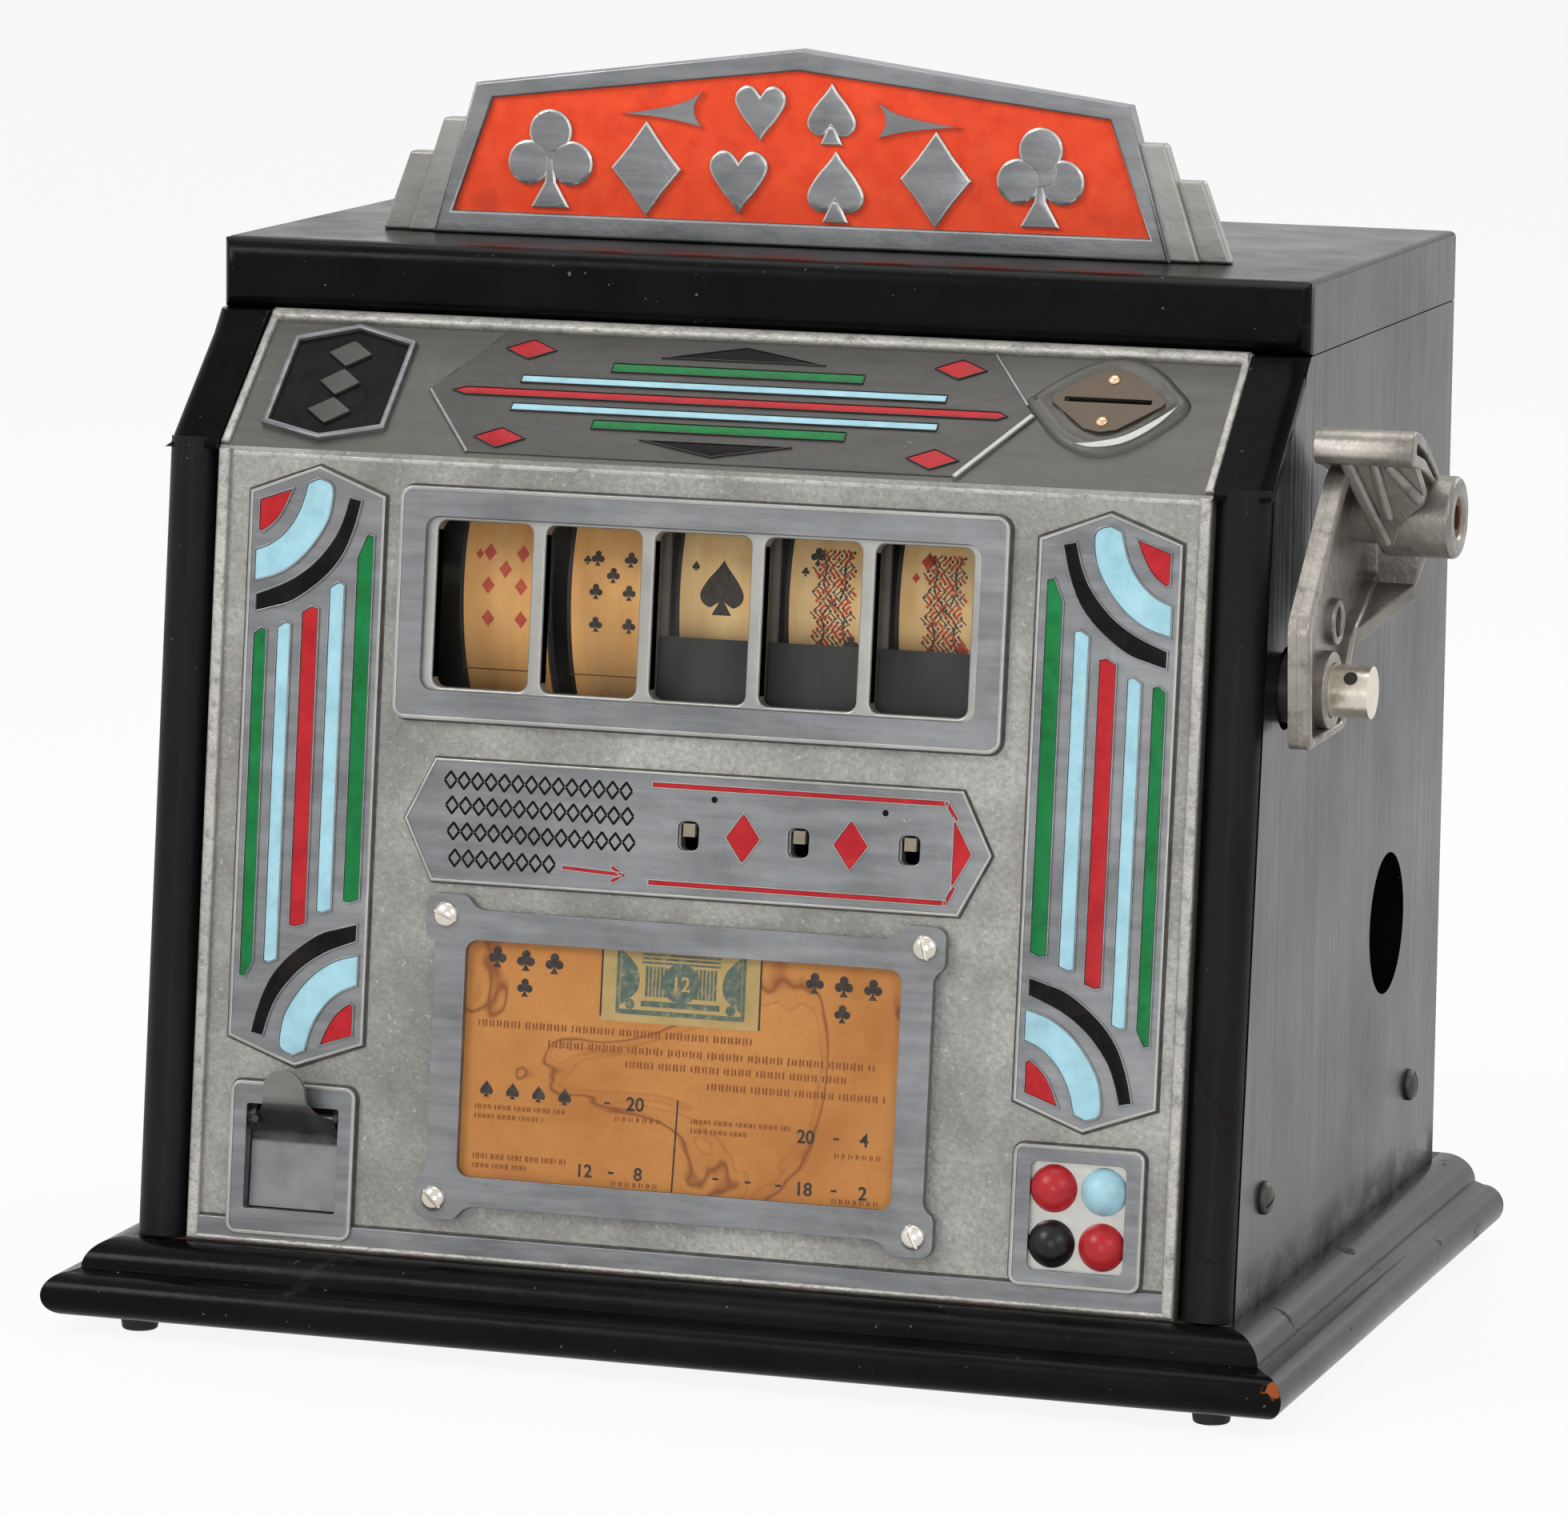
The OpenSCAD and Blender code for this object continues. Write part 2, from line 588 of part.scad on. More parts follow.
module cup_flap() color([0.7, 0.7, 0.7]) difference() {
    union() {
        intersection() {
            across(cup_x - flap_w / 2, cup_x + flap_w / 2) polygon(concat(
                [for (p = flap_line) lower_pt(p[0], p[1])],
                [for (k = [3:-1:0]) lower_pt(flap_line[k][0], flap_line[k][1] - sheet_t)]));
            on_lower() translate([cup_x, 0, -tab_out]) linear_extrude(3 * tab_out) flap_outline();
        }
        for (x = [cup_x - flap_w / 2, cup_x + flap_w / 2 - sheet_t]) across(x, x + sheet_t) {
            translate(flap_axis) circle(flap_pin_r + 1.3);
            polygon([lower_pt(flap_fold - 5, -1.5), lower_pt(flap_fold - 5, -2.8),
                     lower_pt(flap_s - 1, -4), lower_pt(flap_s + 1, flap_pin_r - 1.2),
                     lower_pt(flap_fold + 3, 1.5), lower_pt(flap_fold, -1.5)]);
        }
    }
    bar_x(cup_x - flap_w, cup_x + flap_w, flap_axis, flap_pin_r + run_gap);
}

flap_pin_hw = cup_w / 2 + 3.2;

module flap_pin() color("silver")
    bar_x(cup_x - flap_pin_hw, cup_x + flap_pin_hw, flap_axis, flap_pin_r);

// Mechanism: two steel plates joined by rods stand on the floor board
plate_outline = [
    [lever_axis[0] - 6, base_top], [lever_axis[0] - 6, reel_axis[1] + 12],
    [lever_axis[0] + 8, reel_axis[1] + 25], [reel_axis[0] + 41, reel_axis[1] + 25],
    [reel_axis[0] + reel_r + 24, reel_axis[1] + 8], [pawl_axis[0] + 40, base_top]];

module mech_plate() difference() {
    union() {
        across(plate_x, plate_out) polygon(plate_outline);
        translate([plate_x - 12, lever_axis[0] - 6, base_top])
            cube([12 + weld, pawl_axis[0] - lever_axis[0] + 46, 2]);
    }
    bar_x(plate_x - 1, plate_out + 1, reel_axis, reel_shaft_r + run_gap);
    bar_x(plate_x - 1, plate_out + 1, cross_axis, cross_r + run_gap);
    for (at = rod_spots) bar_x(plate_x - 1, plate_out + 1, at, rod_r + run_gap);
}

module mech_plate_right() color("lightslategray") mech_plate();

module mech_plate_left() color("lightslategray") mirror([1, 0, 0]) mech_plate();

module tie_rods() color("silver")
    for (at = rod_spots) bar_x(-plate_out, plate_out, at, rod_r);

// Reels: wheel with its stop star on a long hub, and a printed strip round the rim
reel_hub_low = strip_w / 2 + star_gap + star_t;

module reel_shaft() color("silver") {
    bar_x(-plate_out, plate_out, reel_axis, reel_shaft_r);
    bar_x(-plate_x, reel_x(0) - reel_hub_low - seat_gap, reel_axis, reel_shaft_r + 2.5);
    bar_x(reel_x(4) + strip_w / 2 + 0.5, plate_x, reel_axis, reel_shaft_r + 2.5);
}

module reel_wheel(i) color("lightgray") {
    rim_r = reel_r - strip_t - run_gap;
    translate([reel_x(i), reel_axis[0], reel_axis[1]]) rotate([0, 90, 0]) difference() {
        union() {
            translate([0, 0, -reel_hub_low]) cylinder(r = hub_r, h = reel_hub_low + strip_w / 2);
            translate([0, 0, -0.8]) cylinder(r = rim_r - rim_t / 2, h = 1.6);
            difference() {
                translate([0, 0, -strip_w / 2 + 0.5]) cylinder(r = rim_r, h = strip_w - 1);
                translate([0, 0, -strip_w / 2]) cylinder(r = rim_r - rim_t, h = strip_w);
            }
            translate([0, 0, -reel_hub_low]) difference() {
                cylinder(r = star_r, h = star_t);
                for (k = [1:card_count]) rotate(360 / card_count * k + 90 + pawl_angle)
                    translate([star_r, 0, -1]) cylinder(r = 2.2, h = star_t + 2, $fn = 24);
            }
        }
        for (k = [0:4]) rotate(72 * k) translate([(hub_r + rim_r) / 2, 0, -2])
            cylinder(r = reel_r * 0.19, h = 4);
        translate([0, 0, -strip_w]) cylinder(r = reel_shaft_r + run_gap, h = 2 * strip_w);
    }
}

module reel_strip(i) color([0.9, 0.75, 0.45])
    translate([reel_x(i), reel_axis[0], reel_axis[1]]) rotate([0, 90, 0]) difference() {
        translate([0, 0, -strip_w / 2]) cylinder(r = reel_r, h = strip_w, $fn = 96);
        translate([0, 0, -strip_w]) cylinder(r = reel_r - strip_t, h = 2 * strip_w, $fn = 96);
    }

// Five stop pawls on a sleeve; each points at the star of its reel from below
pawl_tip = reel_axis + (star_r + 1) * [cos(pawl_angle), sin(pawl_angle)];

module stop_pawls() color("dimgray") difference() {
    union() {
        bar_x(reel_x(0) - reel_hub_low - 2, reel_x(4) + 6, pawl_axis, rod_r + 2);
        for (i = [0:reel_count - 1])
            across(reel_x(i) - reel_hub_low, reel_x(i) - reel_hub_low + star_t)
                polygon([pawl_axis + [0, 4], pawl_axis + [-2, -4], pawl_tip + [-3, -6],
                         pawl_tip + [-3, -2], pawl_tip, pawl_tip + [2, -2.5]]);
    }
    bar_x(-plate_x, plate_x, pawl_axis, rod_r + run_gap);
}

// Cross shaft with its kicker arms; the same crank arm drives it and the handle's shaft
module cross_shaft() color("silver") {
    bar_x(cup_x - cup_hw - 3, crank_x + crank_t + 0.4, cross_axis, cross_r);
    for (i = [0:reel_count - 1])
        across(reel_x(i) - 2, reel_x(i) + 2) {
            translate(cross_axis) circle(cross_r + 3);
            translate(cross_axis) rotate(crank_rest) translate([0, -2.5]) square([26, 5]);
        }
}

module crank_arm(axis, bore_r, pin_to) difference() {
    union() {
        bar_x(crank_x, crank_x + crank_t, axis, bore_r + 4);
        bar_x(crank_x, crank_x + crank_t, axis + crank_pin, pin_r + 2.5);
        across(crank_x, crank_x + crank_t) translate(axis) rotate(crank_rest)
            translate([0, -pin_r - 1]) square([crank_r, 2 * pin_r + 2]);
        bar_x(crank_x, pin_to, axis + crank_pin, pin_r);
    }
    bar_x(crank_x - 1, crank_x + crank_t + 1, axis, bore_r + key_gap);
}

module rocker_arm() color("slategray") crank_arm(cross_axis, cross_r, link_x + link_t + 0.7);

module handle_crank() color("slategray") crank_arm(handle_axis, handle_shaft_r, pin_end);

link_x = crank_x + crank_t + 0.5;

module drive_link() color("darkgray") difference() {
    union() {
        for (axis = [cross_axis, handle_axis])
            bar_x(link_x, link_x + link_t, axis + crank_pin, pin_r + 3);
        translate([link_x, cross_axis[0] + crank_pin[0] - 4, cross_axis[1] + crank_pin[1]])
            cube([link_t, 8, handle_axis[1] - cross_axis[1]]);
    }
    for (axis = [cross_axis, handle_axis])
        bar_x(link_x - 1, link_x + link_t + 1, axis + crank_pin, pin_r + run_gap);
}

// Handle: shaft in a bushing through the side board, and the cast arm outside
bushing_r = 8;
bushing_out = side_x + 5.7;
arm_x = side_x + 6;
arm_t = 5;
web_t = 2;
shaft_end = side_x + 20;
thumb = [8, 57];
boss = [31, 38];
boss_r = 9.5;
boss_end = side_x + handle_reach;
web_hole = [8.5, 14.5];
web_hole_r = 3.5;
arm_outline = [[-21.5, -11], [-24, 18], [8, 48], [24, 53], [40, 46], [40, 28], [31, 14],
               [22, 4.5], [12.5, -10.5]];
arm_pocket = [[-18.5, -8.5], [-20.5, 17], [9, 44.5], [24, 49.5], [37, 43.5], [37, 29.5],
              [28.5, 16.5], [19.5, 6.5], [11, -8.5]];

module handle_shaft() color("silver") difference() {
    bar_x(crank_x - 1, shaft_end, handle_axis, handle_shaft_r);
    translate([shaft_end - 4, handle_axis[0], handle_axis[1] - 10]) cylinder(r = 1.5, h = 20);
}

module handle_bushing() color("dimgray") difference() {
    union() {
        bar_x(inner_x - 2, bushing_out, handle_axis, bushing_r);
        bar_x(inner_x - 2, inner_x, handle_axis, bushing_r + 3.5);
    }
    bar_x(inner_x - 3, bushing_out + 1, handle_axis, handle_shaft_r + run_gap);
}

module handle_arm() color([0.62, 0.6, 0.57]) difference() {
    union() {
        difference() {
            across(arm_x, arm_x + arm_t) translate(handle_axis) polygon(arm_outline);
            across(arm_x + web_t, arm_x + arm_t + 1) translate(handle_axis)
                polygon(arm_pocket);
        }
        bar_x(arm_x, arm_x + arm_t, handle_axis, handle_shaft_r + 3);
        bar_x(arm_x, arm_x + arm_t - 1, handle_axis + web_hole, web_hole_r + 2.5);
        bar_x(arm_x, boss_end, handle_axis + boss, boss_r);
        bar_x(side_x + 4, boss_end - 5, handle_axis + thumb, 4);
        across(side_x + 4, boss_end - 5) translate(handle_axis)
            polygon([thumb + [-2, 3.4], boss + [-1, boss_r], boss + [-3, 5], thumb + [-1, -3.6]]);
        across(boss_end - 11, boss_end - 8) translate(handle_axis)
            polygon([thumb + [0, -3], boss + [-1, boss_r - 1], boss + [-9, -2]]);
    }
    bar_x(arm_x - 1, arm_x + arm_t + 1, handle_axis, handle_shaft_r + key_gap);
    bar_x(arm_x - 1, arm_x + arm_t, handle_axis + web_hole, web_hole_r);
    bar_x(boss_end - 14, boss_end + 1, handle_axis + boss, web_hole_r);
}

// Return spring, from the crank's pin down to its anchor screw
spring_r = 2.8;
spring_x = pin_end - 1.4;
spring_l = 89;
spring_anchor = handle_axis + crank_pin - [0, spring_l];

module handle_spring() color("gray") translate([spring_x, spring_anchor[0], spring_anchor[1] + 2])
    cylinder(r = spring_r, h = spring_l - pin_r - 2.3);

// Shutters slide between guides behind the glass of the last three windows
module shutter(i) color([0.2, 0.21, 0.22]) on_lower()
    translate([reel_x(i + 2) - reel_pitch / 2 + guide_w / 2 + 0.5, shutter_low,
               -shutter_n - shutter_t])
        cube([reel_pitch - guide_w - 1, shutter_h, shutter_t]);

module shutter_guides() color("gray") on_lower() {
    low = shutter_low - 2.8;
    high = win_s + win_h / 2 + 5;
    difference() {
        union() {
            for (i = [0:shutter_count])
                translate([reel_x(i + 2) - reel_pitch / 2, 0, 0]) {
                    translate([-guide_w / 2, low, -guide_n])
                        cube([guide_w, high - low, guide_n - panel_t]);
                    translate([-2.4, low, -guide_n - sheet_t])
                        cube([4.8, high - low + 3, sheet_t]);
                }
            for (s = [low, high]) translate([reel_x(2) - reel_pitch / 2 - 1, s, -guide_n])
                cube([shutter_count * reel_pitch + 2, s == low ? 2.5 : 3, guide_n - panel_t]);
        }
        translate([-frame_hw, win_s - win_h / 2 - 3.3, -panel_t - glass_t - 0.2])
            cube([2 * frame_hw, win_h + 6.6, glass_t + 1]);
    }
}

// Press-down levers turn on their rod and reach forward into the holes of the panel
module lever(i) color("darkkhaki") difference() {
    union() {
        bar_x(reel_x(i + 2) - 3, reel_x(i + 2) + 3, lever_axis, rod_r + 2);
        on_lower() translate([reel_x(i + 2) - 1.4, lever_s - 0.1, -24])
            cube([2.8, 3, 24 + relief]);
    }
    bar_x(-plate_x, plate_x, lever_axis, rod_r + run_gap);
}

// Coin chute: a flat bent tube from the entry plate down beside the right plate
chute_hw = slot[0] / 2 + 2.5;
chute_in = [sin(tilt_2), -cos(tilt_2)];
chute_side = [cos(tilt_2), sin(tilt_2)];

function chute_band(w, more) = [
    chute_bend - 30 * chute_in - more * chute_in + w * chute_side,
    chute_bend + [w, w * tan((90 - tilt_2) / 2)],
    [chute_bend[0] + w, chute_end - more], [chute_bend[0] - w, chute_end - more],
    chute_bend - [w, w * tan((90 - tilt_2) / 2)],
    chute_bend - 30 * chute_in - more * chute_in - w * chute_side];

module coin_chute() color("gainsboro") {
    difference() {
        across(coin_x - chute_hw, coin_x + chute_hw) polygon(chute_band(chute_d / 2, 0));
        across(coin_x - chute_hw + 1, coin_x + chute_hw - 1)
            polygon(chute_band(chute_d / 2 - 1, 1));
    }
    for (z = [chute_end + 12, chute_bend[1] - 20])
        translate([plate_out, chute_bend[0] - chute_d / 2, z])
            cube([coin_x - chute_hw - plate_out, chute_d, 8]);
}

module cash_box() color("lightsteelblue") difference() {
    translate([plate_out + 1.5, lever_axis[0] + 4, base_top])
        cube([box_w, box_l, box_h]);
    translate([plate_out + 1.5 + sheet_t, lever_axis[0] + 4 + sheet_t, base_top + sheet_t])
        cube([box_w - 2 * sheet_t, box_l - 2 * sheet_t, box_h]);
}

// Gum hopper over the gum wheel, which is keyed on the left end of the cross shaft
hopper_low = cross_axis[1] + gum_wheel_r + 1.5;
hopper_in = plate_out + 1;

hopper_l = 62;
hopper_h = 76;

module gum_hopper() color("lightgray") difference() {
    union() {
        across(cup_x - cup_hw, -hopper_in) polygon(hopper_outline(0, 0));
        for (at = [[plate_outline[0][0], hopper_low + 30], [reel_axis[0] + 10, hopper_low + 44]])
            translate([-hopper_in - sheet_t, at[0], at[1]])
                cube([hopper_in + sheet_t - plate_out, 12, 10]);
    }
    across(cup_x - cup_hw + sheet_t, -hopper_in - sheet_t)
        polygon(hopper_outline(sheet_t, 1));
}

function hopper_outline(wall, more) = [
    [cross_axis[0] - 8 + wall, hopper_low - more],
    [cross_axis[0] - 10 + wall, hopper_low + 30],
    [cross_axis[0] - 10 + wall, hopper_low + hopper_h + more],
    [cross_axis[0] + hopper_l - wall, hopper_low + hopper_h + more],
    [cross_axis[0] + hopper_l - wall, hopper_low + 34 + wall],
    [cross_axis[0] + 9 - wall, hopper_low - more]];

module gum_wheel() color("ivory") difference() {
    bar_x(cup_x - 9.5, cup_x + 9.5, cross_axis, gum_wheel_r);
    bar_x(cup_x - 10, cup_x + 10, cross_axis, cross_r + key_gap);
    for (a = [90, 210, 330])
        bar_x(cup_x - 7, cup_x + 7, cross_axis + gum_wheel_r * [cos(a), sin(a)], 7);
}

bottom_board();
base_moulding_front();
base_moulding_left();
base_moulding_right();
side_board_left();
side_board_right();
top_board();
cabinet_battens();
feet();
rear_door();
hinge_leaves_fixed();
hinge_leaves_door();
door_lock();
lock_cam();
wood_screws();
front_panel();
window_glass();
card_frame();
award_card();
card_frame_screws();
coin_plate();
coin_plate_rivets();
marquee();
gum_cup();
cup_flap();
flap_pin();
mech_plate_left();
mech_plate_right();
tie_rods();
reel_shaft();
reel_wheel(0);  // reel_wheel_1
reel_wheel(1);  // reel_wheel_2
reel_wheel(2);  // reel_wheel_3
reel_wheel(3);  // reel_wheel_4
reel_wheel(4);  // reel_wheel_5
reel_strip(0);  // reel_strip_1
reel_strip(1);  // reel_strip_2
reel_strip(2);  // reel_strip_3
reel_strip(3);  // reel_strip_4
reel_strip(4);  // reel_strip_5
stop_pawls();
cross_shaft();
rocker_arm();
drive_link();
handle_shaft();
handle_crank();
handle_bushing();
handle_arm();
shutter(0);  // shutter_1
shutter(1);  // shutter_2
shutter(2);  // shutter_3
lever(0);  // lever_1
lever(1);  // lever_2
lever(2);  // lever_3
shutter_guides();
coin_chute();
cash_box();
gum_hopper();
gum_wheel();
handle_spring();
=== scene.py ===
import math
import bmesh
import bpy
from mathutils import Matrix, Vector


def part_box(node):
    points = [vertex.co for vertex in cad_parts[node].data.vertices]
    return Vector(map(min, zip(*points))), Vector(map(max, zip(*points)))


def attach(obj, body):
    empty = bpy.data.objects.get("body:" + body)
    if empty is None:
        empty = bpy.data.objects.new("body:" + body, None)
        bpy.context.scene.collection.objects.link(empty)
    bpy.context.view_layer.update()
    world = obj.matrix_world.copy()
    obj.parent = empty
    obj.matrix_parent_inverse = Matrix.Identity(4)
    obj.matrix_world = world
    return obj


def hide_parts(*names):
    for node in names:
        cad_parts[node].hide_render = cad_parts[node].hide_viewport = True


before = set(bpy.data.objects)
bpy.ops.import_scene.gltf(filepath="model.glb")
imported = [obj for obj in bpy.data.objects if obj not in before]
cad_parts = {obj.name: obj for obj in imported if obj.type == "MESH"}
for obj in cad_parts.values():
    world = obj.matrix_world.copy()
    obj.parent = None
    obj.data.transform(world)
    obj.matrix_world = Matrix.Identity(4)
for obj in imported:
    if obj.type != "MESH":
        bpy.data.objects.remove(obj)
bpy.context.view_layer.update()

# Studio: camera at the photograph's place, a pale floor, a white surround
# and broad soft lamps.
scene = bpy.context.scene
scene.view_settings.view_transform = "Standard"

turn, rise, roll = math.radians(17.81), math.radians(9.0), math.radians(0.73)
back = Vector((math.sin(turn) * math.cos(rise), -math.cos(turn) * math.cos(rise), math.sin(rise)))
right = Vector((math.cos(turn), math.sin(turn), 0))
up = back.cross(right)
right_rolled = right * math.cos(roll) + up * math.sin(roll)
up_rolled = up * math.cos(roll) - right * math.sin(roll)
lens = bpy.data.cameras.new("camera")
lens.lens = 183.67
lens.sensor_width = 36
lens.clip_end = 20
camera = bpy.data.objects.new("camera", lens)
looked_at, distance = Vector((-0.00318, -0.003, 0.12931)), 1.90828
camera.matrix_world = Matrix.Translation(looked_at + back * distance) @ Matrix(
    (right_rolled, up_rolled, back)).transposed().to_4x4()
scene.collection.objects.link(camera)
scene.camera = camera


def add(tree, kind, inputs=None, **settings):
    made = tree.nodes.new("ShaderNode" + kind)
    for key, value in settings.items():
        setattr(made, key, value)
    for key, value in (inputs or {}).items():
        if isinstance(value, bpy.types.NodeSocket):
            tree.links.new(value, made.inputs[key])
        else:
            made.inputs[key].default_value = value
    return made


def seen_directly(tree):
    # 1 for rays from the camera, from gloss and through glass, 0 for the light on the object
    path = add(tree, "LightPath")
    first = add(tree, "Math", {0: path.outputs["Is Camera Ray"], 1: path.outputs["Is Glossy Ray"]},
                operation="MAXIMUM")
    return add(tree, "Math", {0: first.outputs[0], 1: path.outputs["Is Transmission Ray"]},
               operation="MAXIMUM").outputs[0]


surround = bpy.data.worlds.new("surround")
surround.use_nodes = True
sky = surround.node_tree
light = add(sky, "Background", {"Color": (0.92, 0.95, 1.0, 1), "Strength": 0.36})
white = add(sky, "Background", {"Color": (1, 1, 1, 1), "Strength": 1.0})
either = add(sky, "MixShader", {0: seen_directly(sky), 1: light.outputs[0], 2: white.outputs[0]})
sky.links.new(either.outputs[0], sky.nodes["World Output"].inputs["Surface"])
scene.world = surround

for name, spot, aim, size, power in (
        ("lamp_front_left", (-1.2, -1.35, 1.5), (0, 0, 0.14), 0.8, 20),
        ("lamp_front_right", (1.3, -1.2, 1.0), (0, 0, 0.12), 0.8, 7),
        ("lamp_front_low", (0.2, -1.9, 0.3), (0, 0, 0.16), 0.5, 4),
        ("lamp_top", (-0.1, 0.25, 1.7), (0, 0, 0.2), 1.0, 8),
        ("lamp_back", (0.9, 1.4, 1.1), (0, 0, 0.15), 0.9, 9)):
    panel = bpy.data.lights.new(name, "AREA")
    panel.shape = "SQUARE"
    panel.size = size
    panel.energy = power
    lamp = bpy.data.objects.new(name, panel)
    lamp.matrix_world = Matrix.Translation(spot) @ (
        Vector(aim) - Vector(spot)).to_track_quat("-Z", "Y").to_matrix().to_4x4()
    scene.collection.objects.link(lamp)

ground = bmesh.new()
bmesh.ops.create_grid(ground, x_segments=1, y_segments=1, size=6)
sheet = bpy.data.meshes.new("studio_floor")
ground.to_mesh(sheet)
ground.free()
floor = bpy.data.objects.new("studio_floor", sheet)
scene.collection.objects.link(floor)
pale = bpy.data.materials.new("pale_floor")
pale.use_nodes = True
tree = pale.node_tree
mottle = add(tree, "TexNoise", {"Scale": 9.0, "Detail": 3.0})
tone = add(tree, "ValToRGB", {"Fac": mottle.outputs["Fac"]})
tone.color_ramp.elements[0].color = (0.9, 0.9, 0.9, 1)
tone.color_ramp.elements[1].color = (0.94, 0.94, 0.94, 1)
matt = tree.nodes["Principled BSDF"]
matt.inputs["Roughness"].default_value = 0.9
tree.links.new(tone.outputs[0], matt.inputs["Base Color"])
glow = add(tree, "Emission", {"Color": (1, 1, 1, 1), "Strength": 1.0})
share = add(tree, "Math", {0: seen_directly(tree), 1: 0.9}, operation="MULTIPLY")
lifted = add(tree, "MixShader", {0: share.outputs[0], 1: matt.outputs[0], 2: glow.outputs[0]})
tree.links.new(lifted.outputs[0], tree.nodes["Material Output"].inputs["Surface"])
sheet.materials.append(pale)

# Base moulding: three mitred lengths of turned-nose and quarter-round profile in
# black lacquered wood, glued and pinned round the floor board. Sizes are in millimetres
# where a shape is drawn; its place turns them into metres.
MM = Matrix.Scale(0.001, 4)
mirror_x = Matrix.Scale(-1, 4, (1, 0, 0))
floor_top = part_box("bottom_board")[1].z * 1000
floor_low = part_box("bottom_board")[0].z * 1000
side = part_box("side_board_right")[1].x * 1000
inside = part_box("side_board_right")[0].x * 1000
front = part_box("side_board_right")[0].y * 1000
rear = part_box("side_board_right")[1].y * 1000
base_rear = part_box("bottom_board")[1].y * 1000


def arc(x, y, r, start, end, steps):
    return [(x + r * math.cos(math.radians(start + (end - start) * k / steps)),
             y + r * math.sin(math.radians(start + (end - start) * k / steps))) for k in range(steps + 1)]


def ring(bm, points, z=0.0):
    corners = [bm.verts.new((x, y, z)) for x, y in points]
    return [bm.edges.new(pair) for pair in zip(corners, corners[1:] + corners[:1])]


def plate(rim, holes=(), low=0.0, high=1.0):
    # a flat plate with holes, drawn as outlines and given its thickness
    bm = bmesh.new()
    edges = ring(bm, rim, low)
    for hole in holes:
        edges += ring(bm, hole, low)
    bmesh.ops.triangle_fill(bm, use_beauty=True, use_dissolve=False, edges=edges)
    top = bmesh.ops.extrude_face_region(bm, geom=bm.faces[:])
    bmesh.ops.translate(bm, vec=(0, 0, high - low),
                        verts=[v for v in top["geom"] if isinstance(v, bmesh.types.BMVert)])
    bmesh.ops.recalc_face_normals(bm, faces=bm.faces[:])
    return bm


def soften(bm, width, steps=2, where=None, least=0.5):
    # rounds the edges that turn sharply, of all the mesh or of where it says
    picked = [e for e in bm.edges if len(e.link_faces) == 2 and e.calc_face_angle() > least
              and (where is None or (where(e.verts[0].co) and where(e.verts[1].co)))]
    bmesh.ops.bevel(bm, geom=picked, offset=width, offset_type="OFFSET", segments=steps, profile=0.5,
                    affect="EDGES", clamp_overlap=True, material=-1)


def join(bm, other):
    # puts another mesh into this one
    carried = bpy.data.meshes.new("carried")
    other.to_mesh(carried)
    other.free()
    bm.from_mesh(carried)
    bpy.data.meshes.remove(carried)
    return bm


def move(bm, place):
    bmesh.ops.transform(bm, matrix=place, verts=bm.verts[:])


def cut(bm, point, normal, **clear):
    # splits a mesh along a plane and can clear one side of it
    bmesh.ops.bisect_plane(bm, geom=bm.verts[:] + bm.edges[:] + bm.faces[:], plane_co=point,
                           plane_no=normal, **clear)


def finish_piece(name, bm, place, finish, body="cabinet", stands_for=(), smooth=40):
    move(bm, place)
    if place.determinant() < 0:
        bmesh.ops.reverse_faces(bm, faces=bm.faces[:])
    mesh = bpy.data.meshes.new(name)
    bm.to_mesh(mesh)
    bm.free()
    mesh.materials.append(finish)
    mesh.shade_smooth()
    mesh.set_sharp_from_angle(angle=math.radians(smooth))
    piece = bpy.data.objects.new(name, mesh)
    scene.collection.objects.link(piece)
    even = piece.modifiers.new("even_shading", "WEIGHTED_NORMAL")
    even.keep_sharp = True
    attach(piece, body)
    if stands_for:
        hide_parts(*stands_for)
    return piece


def colour(text):
    # a colour written as on a screen, turned into the light values that shaders use
    parts = [int(text[k:k + 2], 16) / 255 for k in (1, 3, 5)]
    return tuple(c / 12.92 if c < 0.04045 else ((c + 0.055) / 1.055) ** 2.4 for c in parts) + (1,)


def new_finish(name, metallic=0.0, roughness=0.5, coat=0.0, coat_rough=0.1, specular=0.5):
    finish = bpy.data.materials.new(name)
    finish.use_nodes = True
    tree = finish.node_tree
    shader = tree.nodes["Principled BSDF"]
    shader.inputs["Metallic"].default_value = metallic
    shader.inputs["Roughness"].default_value = roughness
    shader.inputs["Coat Weight"].default_value = coat
    shader.inputs["Coat Roughness"].default_value = coat_rough
    shader.inputs["Specular IOR Level"].default_value = specular
    return finish, tree, shader, add(tree, "TexCoord").outputs["Object"]


def paint(tree, shader, base, rough=None):
    # the colour of a finish, and its roughness where that changes over the surface
    tree.links.new(base, shader.inputs["Base Color"])
    if rough is not None:
        tree.links.new(rough, shader.inputs["Roughness"])


def noise(tree, where, scale, detail=3.0, rough=0.5, stretch=None, warp=0.0):
    if stretch:
        where = add(tree, "Mapping", {"Vector": where, "Scale": stretch}).outputs[0]
    return add(tree, "TexNoise", {"Vector": where, "Scale": scale, "Detail": detail, "Roughness": rough,
                                  "Distortion": warp}).outputs["Fac"]


def ramp(tree, source, *stops):
    made = add(tree, "ValToRGB", {"Fac": source})
    elements = made.color_ramp.elements
    while len(elements) < len(stops):
        elements.new(0.5)
    for element, (place, tint) in zip(elements, stops):
        element.position = place
        element.color = colour(tint) if isinstance(tint, str) else (tint, tint, tint, 1)
    return made.outputs["Color"]


